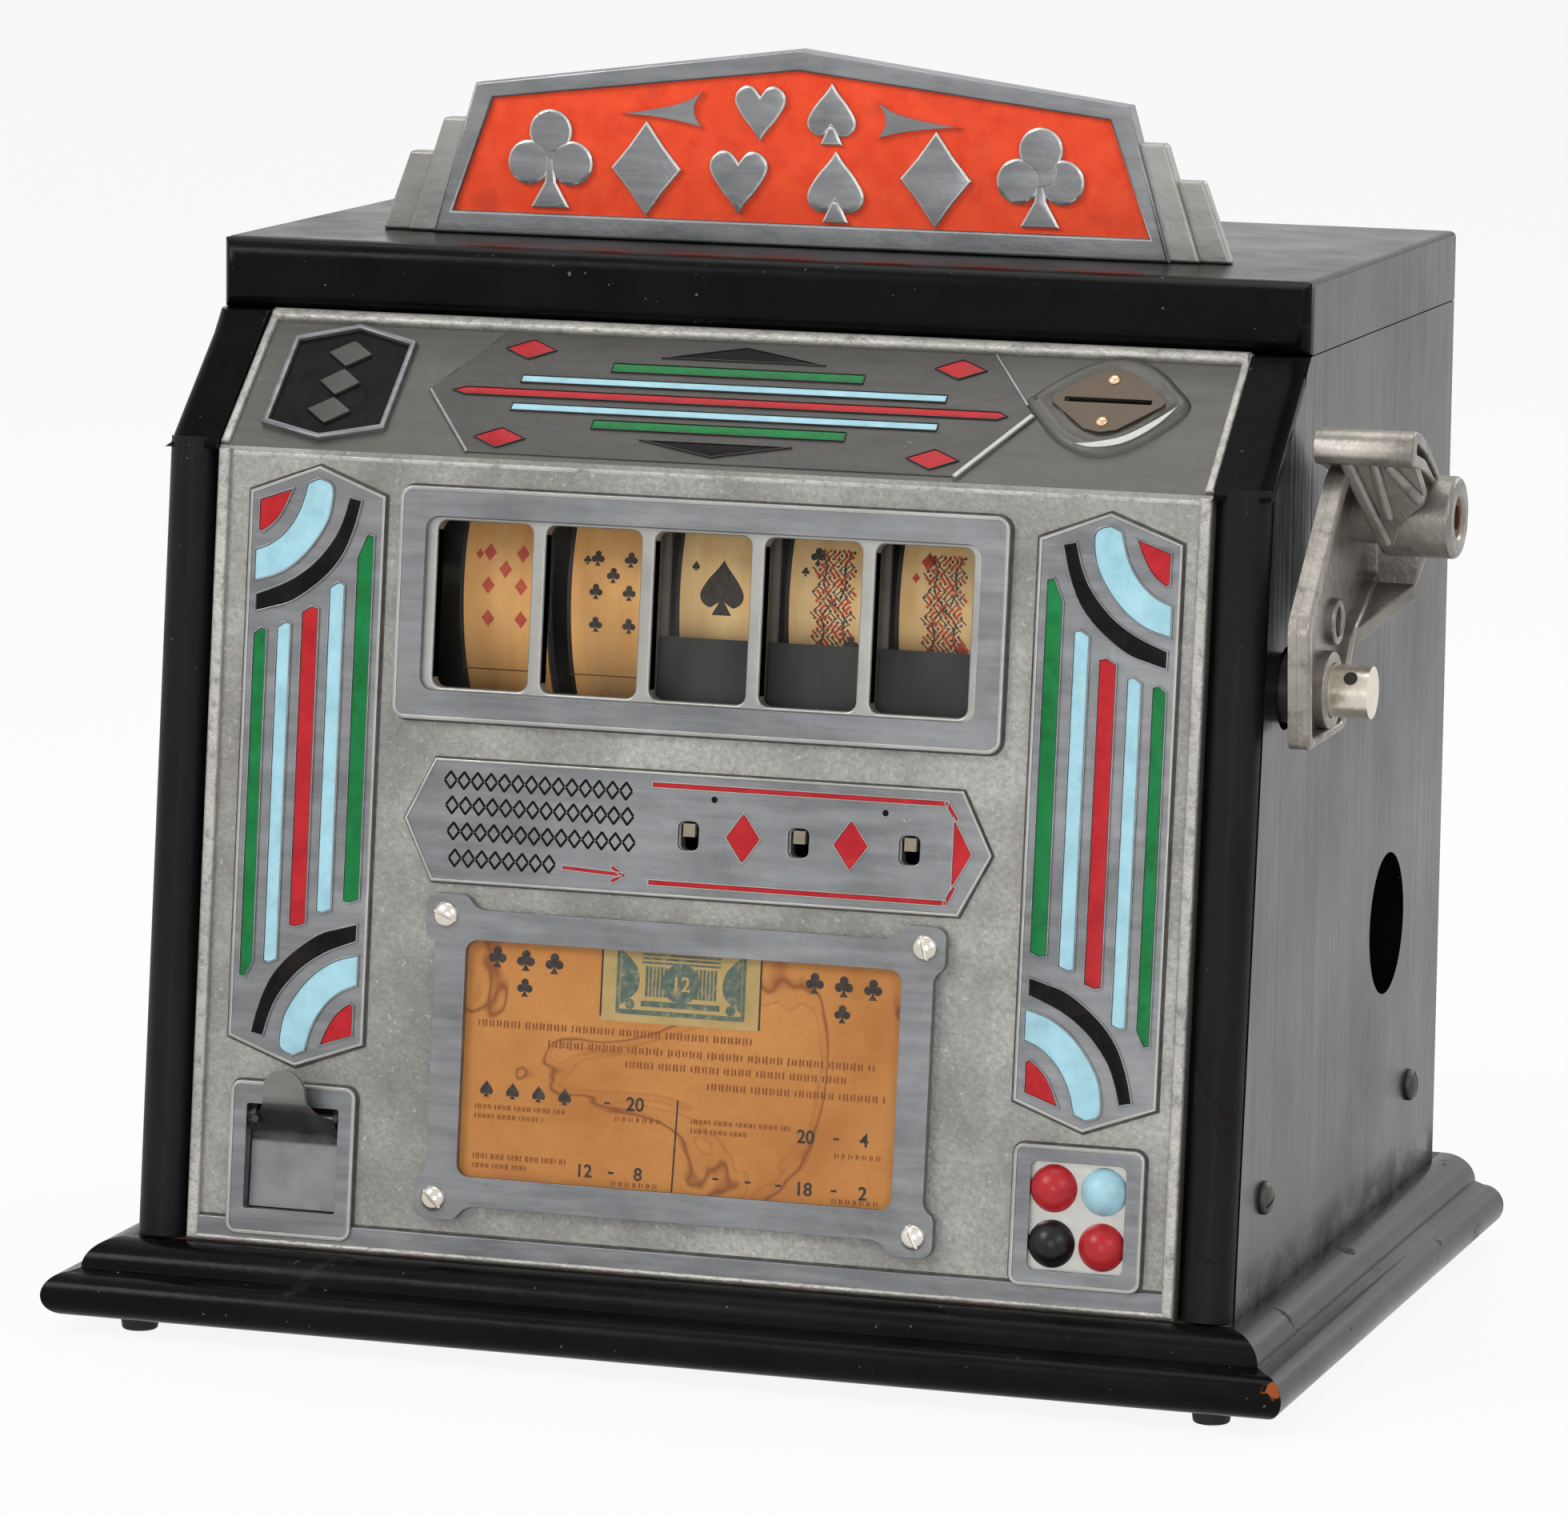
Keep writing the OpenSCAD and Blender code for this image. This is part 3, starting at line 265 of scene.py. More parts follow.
def mixed(tree, share, one, other):
    made = add(tree, "Mix", {0: share}, data_type="RGBA")
    for index, value in ((6, one), (7, other)):
        if isinstance(value, bpy.types.NodeSocket):
            tree.links.new(value, made.inputs[index])
        else:
            made.inputs[index].default_value = colour(value) if isinstance(value, str) else value
    return made.outputs[2]


def sums(tree, operation, one, other=0.0, third=0.0):
    return add(tree, "Math", {0: one, 1: other, 2: third}, operation=operation).outputs[0]


def times(tree, one, other):
    return sums(tree, "MULTIPLY", one, other)


def between(tree, value, start, end):
    # 0 at the start, 1 at the end, and in proportion between them
    return add(tree, "MapRange", {0: value, 1: start, 2: end}).outputs[0]


def parts_of(tree, where):
    return add(tree, "SeparateXYZ", {0: where}).outputs


def bumps(tree, shader, *layers):
    # each layer is a height from 0 to 1 and its depth in metres
    under = None
    for height, depth in layers:
        made = add(tree, "Bump", {"Height": height, "Distance": depth, "Strength": 1.0})
        if under:
            tree.links.new(under, made.inputs["Normal"])
        under = made.outputs[0]
    tree.links.new(under, shader.inputs["Normal"])


def black_lacquer(name, grain, chip_low, chip_high, dust=0.5, gloss=0.07, chip_at=(0, 0, 0)):
    # old black lacquer on wood: fine grain lines under it, dust, scratches, and chips
    # down to the brown wood where the height lies between the two limits, and one chip at a place
    finish, tree, shader, where = new_finish(name, roughness=0.2, specular=gloss)
    lines = noise(tree, where, 130, 4, 0.6, grain)
    fine = noise(tree, where, 900, 2, 0.5, grain)
    haze = noise(tree, where, 28, 4, 0.62)
    black = ramp(tree, haze, (0.3, "#040404"), (0.75, "#101010"))
    scuffs = ramp(tree, noise(tree, where, 60, 6, 0.7, tuple(0.25 + 0.75 * g for g in grain), 0.6),
                  (0.66, 0.0), (0.74, 1.0))
    specks = ramp(tree, noise(tree, where, 520, 2, 0.5), (0.74, 0.0), (0.79, dust))
    worn = mixed(tree, times(tree, scuffs, 0.22), black, "#54524e")
    dusty = mixed(tree, specks, worn, "#77746c")
    height = parts_of(tree, where)[2]
    band = times(tree, sums(tree, "GREATER_THAN", height, chip_low),
                sums(tree, "LESS_THAN", height, chip_high))
    chips = ramp(tree, noise(tree, where, 95, 5, 0.7), (0.7, 0.0), (0.715, 1.0))
    chips = times(tree, chips, band)
    bare = mixed(tree, noise(tree, where, 260, 3), "#3a2012", "#b06a35")
    if any(chip_at):
        reach = add(tree, "VectorMath", {0: where, 1: chip_at}, operation="DISTANCE").outputs["Value"]
        ragged = sums(tree, "MULTIPLY_ADD", noise(tree, where, 300, 5, 0.7), 0.009, reach)
        torn = ramp(tree, times(tree, ragged, 100), (0.62, 1.0), (0.68, 0.0))
        chips = sums(tree, "MAXIMUM", chips, torn)
        bare = mixed(tree, torn, bare, "#9a4f27")
    paint(tree, shader, mixed(tree, chips, dusty, bare), ramp(tree, haze, (0.25, 0.16), (0.8, 0.36)))
    bumps(tree, shader, (lines, 0.00012), (fine, 0.00003), (haze, 0.0004))
    return finish


def handled_lacquer(name, along, gloss, foot, dents, dull_edge=0.0):
    # lacquer rubbed grey by hands: streaks along the wood, scratches, dust, dull dents and
    # dirt that has gathered below a height
    finish, tree, shader, where = new_finish(name, roughness=0.24, specular=gloss)
    streaks = noise(tree, where, 70, 5, 0.65, along)
    fine = noise(tree, where, 420, 3, 0.6, along)
    haze = noise(tree, where, 16, 3, 0.6)
    black = ramp(tree, streaks, (0.3, "#0c0c0d"), (0.75, "#1c1c1d"))
    scratches = ramp(tree, noise(tree, where, 48, 7, 0.75, (1, 0.5, 0.3), 0.8), (0.68, 0.0), (0.72, 1.0))
    specks = ramp(tree, noise(tree, where, 430, 2), (0.75, 0.0), (0.8, 1.0))
    marked = mixed(tree, times(tree, scratches, 0.3), black, "#6a6763")
    marked = mixed(tree, times(tree, specks, 0.45), marked, "#8c8983")
    patchy = noise(tree, where, 62, 6, 0.7, None, 0.5)
    low = between(tree, parts_of(tree, where)[2], foot + 0.012, foot)
    dirt = times(tree, low, ramp(tree, patchy, (0.4, 0.0), (0.6, 1.0)))
    dull = sums(tree, "MAXIMUM", dirt, ramp(tree, patchy, (0.69 - dents, 0.0), (0.71 - dents, 1.0)))
    paint(tree, shader, mixed(tree, times(tree, dull, 0.8), marked, "#1d1712"))
    rough = ramp(tree, haze, (0.3, 0.2 + dull_edge), (0.75, 0.34 + dull_edge))
    tree.links.new(mixed(tree, times(tree, dull, 0.8), rough, (0.75, 0.75, 0.75, 1)),
                   shader.inputs["Roughness"])
    bumps(tree, shader, (streaks, 0.00022), (fine, 0.00006), (haze, 0.0005), (dull, -0.0002))
    return finish


base_lacquer = black_lacquer("base_lacquer", (0.05, 0.05, 1), 0.0005, 0.0115, 0.8, 0.08,
                             chip_at=((side + 14) * 0.001, (front - 15.5) * 0.001,
                                      (floor_low + 8.5) * 0.001))
worn_moulding = handled_lacquer("worn_moulding", (1, 0.05, 1), 0.2, floor_low * 0.001 - 0.02, 0.05)
stand_out, run_past, nose = 16.5, 17, 5.1
ovolo = floor_top - floor_low - 2 * nose - 0.8
profile = ([(0, 0)] + arc(stand_out - nose, nose, nose, -90, 90, 18)
           + [(1.2 + 1.22 * x, y) for x, y in arc(0, floor_top - floor_low - ovolo, ovolo, 0, 90, 14)]
           + [(0, floor_top - floor_low)])


def moulding(length_low, length_high, cuts):
    # the profile run along Y, standing out along X, cut by planes at its ends
    bm = plate(profile, (), 0, length_high - length_low)
    move(bm, Matrix.Translation((0, length_high, 0)) @ Matrix.Rotation(math.pi / 2, 4, "X"))
    for point, normal in cuts:
        cut(bm, point, normal, clear_outer=True)
        open_rim = [e for e in bm.edges if len(e.link_faces) == 1]
        if open_rim:
            bmesh.ops.triangle_fill(bm, use_beauty=True, use_dissolve=False, edges=open_rim)
    bmesh.ops.recalc_face_normals(bm, faces=bm.faces[:])
    soften(bm, 0.35, 2, least=0.7)
    return bm


along_right = Matrix.Translation((side * 0.001, 0, floor_low * 0.001)) @ MM
finish_piece("moulding_right", moulding(front - run_past, base_rear, [((0, front, 0), (-1, -1, 0))]),
             along_right, worn_moulding, stands_for=("base_moulding_right",))
finish_piece("moulding_left", moulding(front - run_past, base_rear, [((0, front, 0), (-1, -1, 0))]),
             mirror_x @ along_right, base_lacquer,
             stands_for=("base_moulding_left",))
along_front = (Matrix.Translation((0, front * 0.001, floor_low * 0.001)) @ MM
               @ Matrix.Rotation(-math.pi / 2, 4, "Z"))
finish_piece("moulding_front",
             moulding(-side - run_past, side + run_past,
                      [((0, side, 0), (-1, 1, 0)), ((0, -side, 0), (-1, -1, 0))]),
             along_front, base_lacquer, stands_for=("base_moulding_front",))

# Floor board of plain softwood inside the moulding, stained dark on its edges and
# underside, and the four rubber feet nailed under it.
stained_wood, tree, shader, where = new_finish("stained_wood", roughness=0.6)
grain = noise(tree, where, 60, 5, 0.6, (0.06, 1, 1), 0.8)
paint(tree, shader, ramp(tree, grain, (0.3, "#1c130c"), (0.55, "#2f2117"), (0.8, "#443224")),
      ramp(tree, grain, (0.3, 0.5), (0.8, 0.75)))
bumps(tree, shader, (grain, 0.0003))


def dress(node, finish):
    # a CAD node keeps its shape and takes a finish
    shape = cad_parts[node]
    for spot in shape.material_slots:
        spot.link = "OBJECT"
        spot.material = finish
    return shape


dress("bottom_board", stained_wood)
rubber, tree, shader, where = new_finish("black_rubber_foot", roughness=0.75)
paint(tree, shader, ramp(tree, noise(tree, where, 300, 4), (0.3, "#131312"), (0.8, "#2c2b29")))
bumps(tree, shader, (noise(tree, where, 900, 3), 0.0001))
foot_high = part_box("feet")[1] * 1000
foot_r = (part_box("feet")[1].x - (side - 3) * 0.001) * 1000
for name, sx, sy in (("foot_front_left", -1, -1), ("foot_front_right", 1, -1),
                     ("foot_rear_left", -1, 1), ("foot_rear_right", 1, 1)):
    stub = bmesh.new()
    bmesh.ops.create_cone(stub, cap_ends=True, cap_tris=False, segments=40, radius1=foot_r - 0.6,
                          radius2=foot_r, depth=foot_high.z)
    bmesh.ops.translate(stub, vec=(sx * (foot_high.x - foot_r),
                                   sy * (foot_high.y - foot_r), foot_high.z / 2),
                        verts=stub.verts[:])
    soften(stub, 0.5, 3, least=0.8)
    finish_piece(name, stub, MM, rubber)
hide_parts("feet")

# Side boards: solid wood, sawn to the lean and slope of the front, the lower front
# edge rounded to a full nose, lacquered black and rubbed grey on the flat by handling.
side_lacquer = handled_lacquer("side_lacquer", (1, 1, 0.035), 0.3, floor_top * 0.001, 0.0)
lean, lower_h, slope_h, slope_run = 20.0, 185.0, 28.5, 34.0
bend_z = floor_top + lower_h
neck_y, neck_z = front + 1.5 + lean + slope_run, bend_z + slope_h
board_outline = [(front + 4.6, floor_top), (front + lean + 4.5, bend_z - 0.8),
                 (front + lean - 0.1, bend_z - 0.8), (front + lean, bend_z + 0.5),
                 (neck_y - 7.5, neck_z - 4), (neck_y - 4, neck_z), (rear, neck_z), (rear, floor_top)]
upright = Matrix(((0, 0, 1, 0), (1, 0, 0, 0), (0, 1, 0, 0), (0, 0, 0, 1)))
nose_lacquer = black_lacquer("nose_lacquer", (1, 1, 0.05), -1, -1, 0.6, 0.03)


def circle(x, y, r, count):
    return arc(x, y, r, 0, 360 - 360 / count, count - 1)


def side_board(holes=()):
    bm = plate(board_outline, holes, inside, side)
    soften(bm, 4.0, 7, lambda p: p.z > side - 0.1 and p.y > bend_z and p.x < neck_y - 3, 0.8)
    soften(bm, 0.4, 2, lambda p: p.x > front + lean + 6 and p.y < neck_z - 1, 0.8)
    return bm


hole_y, hole_z = rear - 54.8, floor_top + 68.5
shaft_y, shaft_z = [c * 500 for c in (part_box("handle_bushing")[0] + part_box("handle_bushing")[1])[1:]]
boards = [finish_piece("side_board_with_handle", side_board(
    [circle(hole_y, hole_z, 17.1, 48), circle(shaft_y, shaft_z, 9.6, 36)]),
    MM @ upright, side_lacquer, stands_for=("side_board_right",))]
boards.append(finish_piece("side_board_plain", side_board(), mirror_x @ MM @ upright,
                           side_lacquer, stands_for=("side_board_left",)))
for board in boards:
    board.data.materials.append(nose_lacquer)
    for patch in board.data.polygons:
        patch.material_index = 1 if abs(patch.normal.x) < 0.9 else 0

# Nosings: the front edges of the boards stand proud below the bend as full rounds, cut
# square at the top, where the light catches them.
nosing_lacquer = handled_lacquer("nosing_lacquer", (1, 1, 0.2), 0.12, -1, 0.04, 0.2)
on_edge = Matrix.Translation((0, front * 0.001, floor_top * 0.001)) @ Matrix.Rotation(
    math.atan2(lower_h, lean), 4, "X") @ MM
edge_len = math.hypot(lower_h, lean)


def raised(rim, holes, low, high, rounding, steps=3, least=0.5):
    # a plate with the edges of its upper face rounded
    bm = plate(rim, holes, low, high)
    soften(bm, rounding, steps, lambda p: p.z > high - 0.01, least)
    return bm


for sign, side_name in ((-1, "left"), (1, "right")):
    round_edge = arc((inside + side + 0.7) / 2, -6.2, (side - inside) / 2 - 0.65, 0, 180, 24)
    nosing = raised([(inside + 1.0, -5), (side - 0.3, -5)] + [(x, 1.7 + y) for x, y in round_edge], (), 0.4,
                    edge_len + 1.8, 0.9, least=0.8)
    lay = Matrix(((1, 0, 0, 0), (0, 0, 1, 0), (0, 1, 0, 0), (0, 0, 0, 1)))
    finish_piece("nosing_" + side_name, nosing,
                 Matrix.Scale(sign, 4, (1, 0, 0)) @ on_edge @ lay, nosing_lacquer)

# Top board: solid wood that overhangs the boards, its front edge rounded, fixed from
# below with glue blocks; old dust lies on it.
top_low, top_high = (corner * 1000 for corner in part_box("top_board"))
top_low.x, top_high.x = top_low.x + 1.7, top_high.x - 1.7
top_lacquer = black_lacquer("top_lacquer", (0.05, 1, 1), 0.2365, 0.2385, 0.8)
slab = bmesh.new()
bmesh.ops.create_cube(slab, size=1)
bmesh.ops.scale(slab, vec=top_high - top_low, verts=slab.verts[:])
bmesh.ops.translate(slab, vec=(top_low + top_high) / 2, verts=slab.verts[:])
soften(slab, 5.0, 8, lambda p: p.y < top_low.y + 1)
soften(slab, 1.6, 4, lambda p: p.y > top_low.y + 1 and p.z > top_high.z - 0.1, 0.8)
soften(slab, 0.3, 2, lambda p: p.y > top_low.y + 1 and p.z < top_high.z - 2, 0.8)
lid = finish_piece("lid_board", slab, MM, top_lacquer, stands_for=("top_board",))
lid.data.materials.append(side_lacquer)
for patch in lid.data.polygons:
    patch.material_index = 1 if abs(patch.normal.x) > 0.9 else 0

# Front casting: one aluminium sand casting bent at the windows' top, 3.5 mm thick, with
# a pebbled ground and raised, brushed borders. It is screwed to the boards from behind.
# Places on it are drawn along its lower face (x, s) and its sloping face (x, t).
tilt_1, tilt_2 = math.atan2(lower_h, lean), math.atan2(slope_h, slope_run)
lower_len, slope_len = math.hypot(lower_h, lean), math.hypot(slope_h, slope_run)
face = front + 1.5
on_lower = Matrix.Translation((0, face * 0.001, floor_top * 0.001)) @ Matrix.Rotation(tilt_1, 4, "X") @ MM
on_slope = (Matrix.Translation((0, (face + lean) * 0.001, bend_z * 0.001))
            @ Matrix.Rotation(tilt_2, 4, "X") @ MM)
half = inside - 0.3
wall = 3.5
relief = 1.4

cast_ground, tree, shader, where = new_finish("cast_ground", metallic=0.62, roughness=0.5)
pebble = noise(tree, where, 800, 4, 0.66)
grit = noise(tree, where, 1500, 2, 0.5)
cloud = noise(tree, where, 30, 6, 0.68)
stain = noise(tree, where, 60, 5, 0.7, warp=0.5)
base = ramp(tree, cloud, (0.3, "#777570"), (0.5, "#92918c"), (0.72, "#afada7"))
base = mixed(tree, ramp(tree, pebble, (0.35, 0.4), (0.6, 0.0)), base, "#74726d")
base = mixed(tree, ramp(tree, stain, (0.68, 0.0), (0.78, 0.55)), base, "#746d5f")
bright = ramp(tree, noise(tree, where, 880, 2, 0.6), (0.62, 0.0), (0.76, 0.6))
paint(tree, shader, mixed(tree, bright, base, "#bdbbb4"), ramp(tree, pebble, (0.3, 0.62), (0.7, 0.42)))
bumps(tree, shader, (cloud, 0.0005), (pebble, 0.00016), (grit, 0.00005))


def rubbed_metal(name, low, high, rough, metallic=0.7, depth=0.00012, streak="#a6a8aa"):
    # raised aluminium faces, dressed on a belt and rubbed smooth by hands
    finish, tree, shader, where = new_finish(name, metallic=metallic, roughness=rough)
    cloud = noise(tree, where, 34, 4, 0.6)
    lines = noise(tree, where, 300, 4, 0.6, (0.12, 1, 1))
    nicks = noise(tree, where, 190, 6, 0.75, (0.5, 1, 0.8), 1.0)
    base = ramp(tree, cloud, (0.28, low), (0.75, high))
    base = mixed(tree, ramp(tree, lines, (0.4, 0.0), (0.75, 0.4)), base, streak)
    base = mixed(tree, ramp(tree, nicks, (0.69, 0.0), (0.73, 0.6)), base, "#cfcfcc")
    dull = noise(tree, where, 90, 5, 0.7)
    paint(tree, shader, mixed(tree, ramp(tree, dull, (0.64, 0.0), (0.74, 0.45)), base, "#5c5c5c"),
          ramp(tree, cloud, (0.3, rough - 0.07), (0.75, rough + 0.1)))
    bumps(tree, shader, (cloud, 0.0005), (lines, depth * 0.4), (nicks, depth))
    return finish


raised_metal = rubbed_metal("raised_metal", "#6b6c6e", "#848587", 0.34)
rim_metal = rubbed_metal("rim_metal", "#8f8d88", "#aaa8a2", 0.36)
foot_metal = rubbed_metal("foot_metal", "#626365", "#77787a", 0.38)
bright_line = rubbed_metal("bright_line", "#b0aea8", "#c9c7c1", 0.3)


def box_outline(x, y, w, h, r=0.0, steps=5):
    if not r:
        return [(x - w / 2, y - h / 2), (x + w / 2, y - h / 2),
                (x + w / 2, y + h / 2), (x - w / 2, y + h / 2)]
    return (arc(x + w / 2 - r, y + h / 2 - r, r, 0, 90, steps)
            + arc(x - w / 2 + r, y + h / 2 - r, r, 90, 180, steps)
            + arc(x - w / 2 + r, y - h / 2 + r, r, 180, 270, steps)
            + arc(x + w / 2 - r, y - h / 2 + r, r, 270, 360, steps))


def grow(points, d):
    # every side of an outline moved outwards by d, or inwards where d is negative
    area = sum(a[0] * b[1] - b[0] * a[1] for a, b in zip(points, points[1:] + points[:1]))
    way = d if area > 0 else -d
    sides = []
    for a, b in zip(points, points[1:] + points[:1]):
        along = Vector((b[0] - a[0], b[1] - a[1])).normalized()
        sides.append((Vector((a[0] + along.y * way, a[1] - along.x * way)), along))
    moved = []
    for (p, u), (q, v) in zip(sides[-1:] + sides[:-1], sides):
        turn = u.x * v.y - u.y * v.x
        gap = q - p
        moved.append(tuple(q if abs(turn) < 0.02 else p + u * ((gap.x * v.y - gap.y * v.x) / turn)))
    return moved


windows = [26.5 * k for k in range(-2, 3)]
window_s, window_w, window_h = lower_len - 34, 23.2, 38.6
lever_s = window_s - 50
cup_x, cup_low, cup_high, cup_w = -(half - 25.5), 8.4, 33.0, 22.8
gum_x, gum_s = half - 23.5, 21.5
coin_x, coin_t = half - 30.3, 26.4
mitre = wall * math.tan((tilt_1 - tilt_2) / 2)
holes = [box_outline(x, window_s, window_w, window_h, 2.2) for x in windows]
holes += [box_outline(x, lever_s, 4.8, 6.6, 1.2) for x in windows[2:]]
holes.append(box_outline(cup_x, (cup_low + cup_high) / 2, cup_w, cup_high - cup_low, 0.6))
lower_wall = plate([(-half, 0), (half, 0), (half, lower_len), (-half, lower_len)], holes, -wall, 0)
for corner in lower_wall.verts:
    if corner.co.y > lower_len - 0.01 and corner.co.z < -1:
        corner.co.y -= mitre
move(lower_wall, on_lower)
slot = box_outline(coin_x, coin_t, 21.6, 3.1)
slope_wall = plate([(-half, 0), (half, 0), (half, slope_len), (-half, slope_len)], [slot], -wall, 0)
for corner in slope_wall.verts:
    if corner.co.y < 0.01 and corner.co.z < -1:
        corner.co.y += mitre
move(slope_wall, on_slope)


def cast(name, bm, place, finish, stands_for=()):
    # a piece of one of the aluminium castings
    return finish_piece(name, bm, place, finish, stands_for=stands_for)


cast("front_casting", lower_wall, Matrix.Identity(4), cast_ground, stands_for=("front_panel",))
slope_metal = rubbed_metal("slope_metal", "#4b4945", "#5b5954", 0.46, 0.6, 0.0002, "#66635d")
field_metal = rubbed_metal("field_metal", "#3f3e3b", "#4c4a47", 0.42, 0.6, 0.0002, "#545250")
cast("front_casting_slope", slope_wall, Matrix.Identity(4), slope_metal)

# Raised rims of the casting: a bead on the bend, ridges along the sides and the top
# edge, and the thickened foot along the bottom, all left rough from the sand.
rough_rim, tree, shader, where = new_finish("rough_rim", metallic=0.55, roughness=0.5)
pitting = noise(tree, where, 330, 4, 0.7)
cloud = noise(tree, where, 40, 4, 0.6)
base = ramp(tree, cloud, (0.3, "#9a9892"), (0.7, "#bcb9b2"))
base = mixed(tree, ramp(tree, pitting, (0.3, 0.6), (0.5, 0.0)), base, "#5d5a55")
rust = ramp(tree, noise(tree, where, 45, 5, 0.7), (0.66, 0.0), (0.74, 0.6))
paint(tree, shader, mixed(tree, rust, base, "#a56a4a"), ramp(tree, pitting, (0.3, 0.6), (0.7, 0.38)))
bumps(tree, shader, (pitting, 0.0005))


def ridge(points, place, width, high, rounding=0.5):
    # a straight raised strip between two points of a face
    (x0, y0), (x1, y1) = points
    along = Vector((x1 - x0, y1 - y0)).normalized()
    out = Vector((along.y, -along.x)) * width / 2
    bm = raised([(x0 + out.x, y0 + out.y), (x1 + out.x, y1 + out.y), (x1 - out.x, y1 - out.y),
                 (x0 - out.x, y0 - out.y)], (), -0.3, high, rounding)
    move(bm, place)
    return bm


rims = bmesh.new()
for sign in (-1, 1):
    for x, low, high, place, width, tall, rounding in (
            (half - 1.5, 0.3, lower_len - 0.6, on_lower, 3.0, 1.4, 0.9),
            (half - 1.1, 0.8, slope_len - 0.4, on_slope, 2.2, 1.0, 0.7)):
        join(rims, ridge([(sign * x, low), (sign * x, high)], place, width, tall, rounding))
join(rims, ridge([(-half + 0.5, 0.9), (half - 0.5, 0.9)], on_lower, 1.4, 1.3, 0.6))
join(rims, ridge([(-half + 0.5, slope_len - 1.8), (half - 0.5, slope_len - 1.8)], on_slope, 3.4, 1.6, 1.1))
bend_bead = bmesh.new()
bmesh.ops.create_cone(bend_bead, cap_ends=True, cap_tris=False, segments=32, radius1=2.4, radius2=2.4,
                      depth=2 * half - 0.6)
move(bend_bead, Matrix.Translation((0, (face + lean + 2.15) * 0.001, (bend_z - 1.9) * 0.001)) @ MM
     @ Matrix.Rotation(math.pi / 2, 4, "Y"))
cast("bend_bead", bend_bead, Matrix.Identity(4), rough_rim)
foot_band = raised([(-half + 2.6, 0.2), (half - 2.6, 0.2), (half - 2.6, 5.9), (-half + 2.6, 5.9)], (), -0.2,
                   0.9, 0.4)
cast("foot_band", foot_band, on_lower, foot_metal)
cast("casting_rims", rims, Matrix.Identity(4), rough_rim)

# Window frame: a raised plate with five rounded windows, its face brushed flat, its
# inner and outer edges worn bright; thin bars stand between the windows.
frame_line = box_outline(-0.2, window_s, 147, 54, 3.2, 6)
surround_plate = raised(frame_line, [box_outline(-0.2, window_s, 134.0, 40.4, 3.2, 6)], -0.2, relief + 0.5,
                        0.8)
cast("window_frame", surround_plate, on_lower, raised_metal)
# a dark finish for lines along the feet of raised parts: dirt, and painted shade in the crease
groove_black, tree, shader, where = new_finish("groove_grime_and_shade", roughness=0.7, specular=0.2)
paint(tree, shader, ramp(tree, noise(tree, where, 240, 4, 0.7), (0.3, "#3f3d3a"), (0.7, "#66635e")))
grooves, lips = bmesh.new(), bmesh.new()


def outlined(points, high, lip=0.9, groove=0.5):
    # a bright worn lip on a raised outline and a dark line along its foot, dirt and painted shade
    join(grooves, plate(grow(points, groove), [points], -0.1, 0.07))
    edge = raised(grow(points, -0.1), [grow(points, -0.1 - lip)], high - 0.1, high + 0.28, 0.2, 2)
    join(lips, edge)


outlined(frame_line, relief + 0.45)
join(grooves, plate([(-half + 3, 5.85), (half - 3, 5.85), (half - 3, 6.5), (-half + 3, 6.5)], (), -0.1,
                    0.08))
window_bars = raised(box_outline(-0.2, window_s, 134.6, 41.0, 3.2, 6),
                     [box_outline(x, window_s, window_w, window_h, 2.2, 6) for x in windows], -wall, 0.5,
                     0.55)
cast("window_bars", window_bars, on_lower, rim_metal)

# Enamel: coloured cells filled with fired enamel, each inside a thin raised metal line.
# Old enamel is glossy, a little domed, and chipped to the metal in places.
enamels = {}
for name, low, high, gloss in (("red", "#a51c24", "#c12a2f", 0.16),
                               ("light_blue", "#99c4d0", "#aedae4", 0.16),
                               ("green", "#0f6530", "#1b8044", 0.16), ("black", "#0b0b0b", "#171717", 0.07),
                               ("orange_red", "#e84424", "#fa5832", 0.16)):
    enamel, tree, shader, where = new_finish(name + "_enamel", roughness=0.3, specular=gloss)
    cloud = noise(tree, where, 160, 4, 0.65)
    chips = ramp(tree, noise(tree, where, 330, 5, 0.75), (0.715, 0.0), (0.73, 1.0))
    grime = ramp(tree, noise(tree, where, 75, 5, 0.7), (0.55, 0.0), (0.8, 0.28))
    base = mixed(tree, grime, ramp(tree, cloud, (0.3, low), (0.7, high)), "#4a3a34")
    paint(tree, shader, mixed(tree, chips, base, "#8f8e8a"), ramp(tree, cloud, (0.3, 0.22), (0.75, 0.42)))
    bumps(tree, shader, (cloud, 0.00012), (chips, -0.00008))
    enamels[name] = enamel


def inlay(cells, place, name, tint, ground=0.0, dome=0.25, line=0.0, rim=None):
    # cells of one colour on a face, and the metal lines round them
    fill = bmesh.new()
    for points in cells:
        cell = raised(points, (), ground - 0.2, ground + dome, min(0.45, dome + 0.1), 2)
        join(fill, cell)
        if line:
            edge = raised(grow(points, line), [points], ground - 0.2, ground + dome + 0.2, line * 0.3, 2)
            join(rim, edge)
    return finish_piece(name, fill, place, enamels[tint])


def curve_through(points, steps=6):
    # a smooth open curve through a few points
    ends = [points[0]] + list(points) + [points[-1]]
    made = []
    for a, b, c, d in zip(ends, ends[1:], ends[2:], ends[3:]):
        for k in range(steps):
            t = k / steps
            made.append(tuple(0.5 * (2 * b[i] + (c[i] - a[i]) * t
                                     + (2 * a[i] - 5 * b[i] + 4 * c[i] - d[i]) * t * t
                                     + (3 * b[i] - a[i] - 3 * c[i] + d[i]) * t ** 3) for i in (0, 1)))
    return made + [points[-1]]


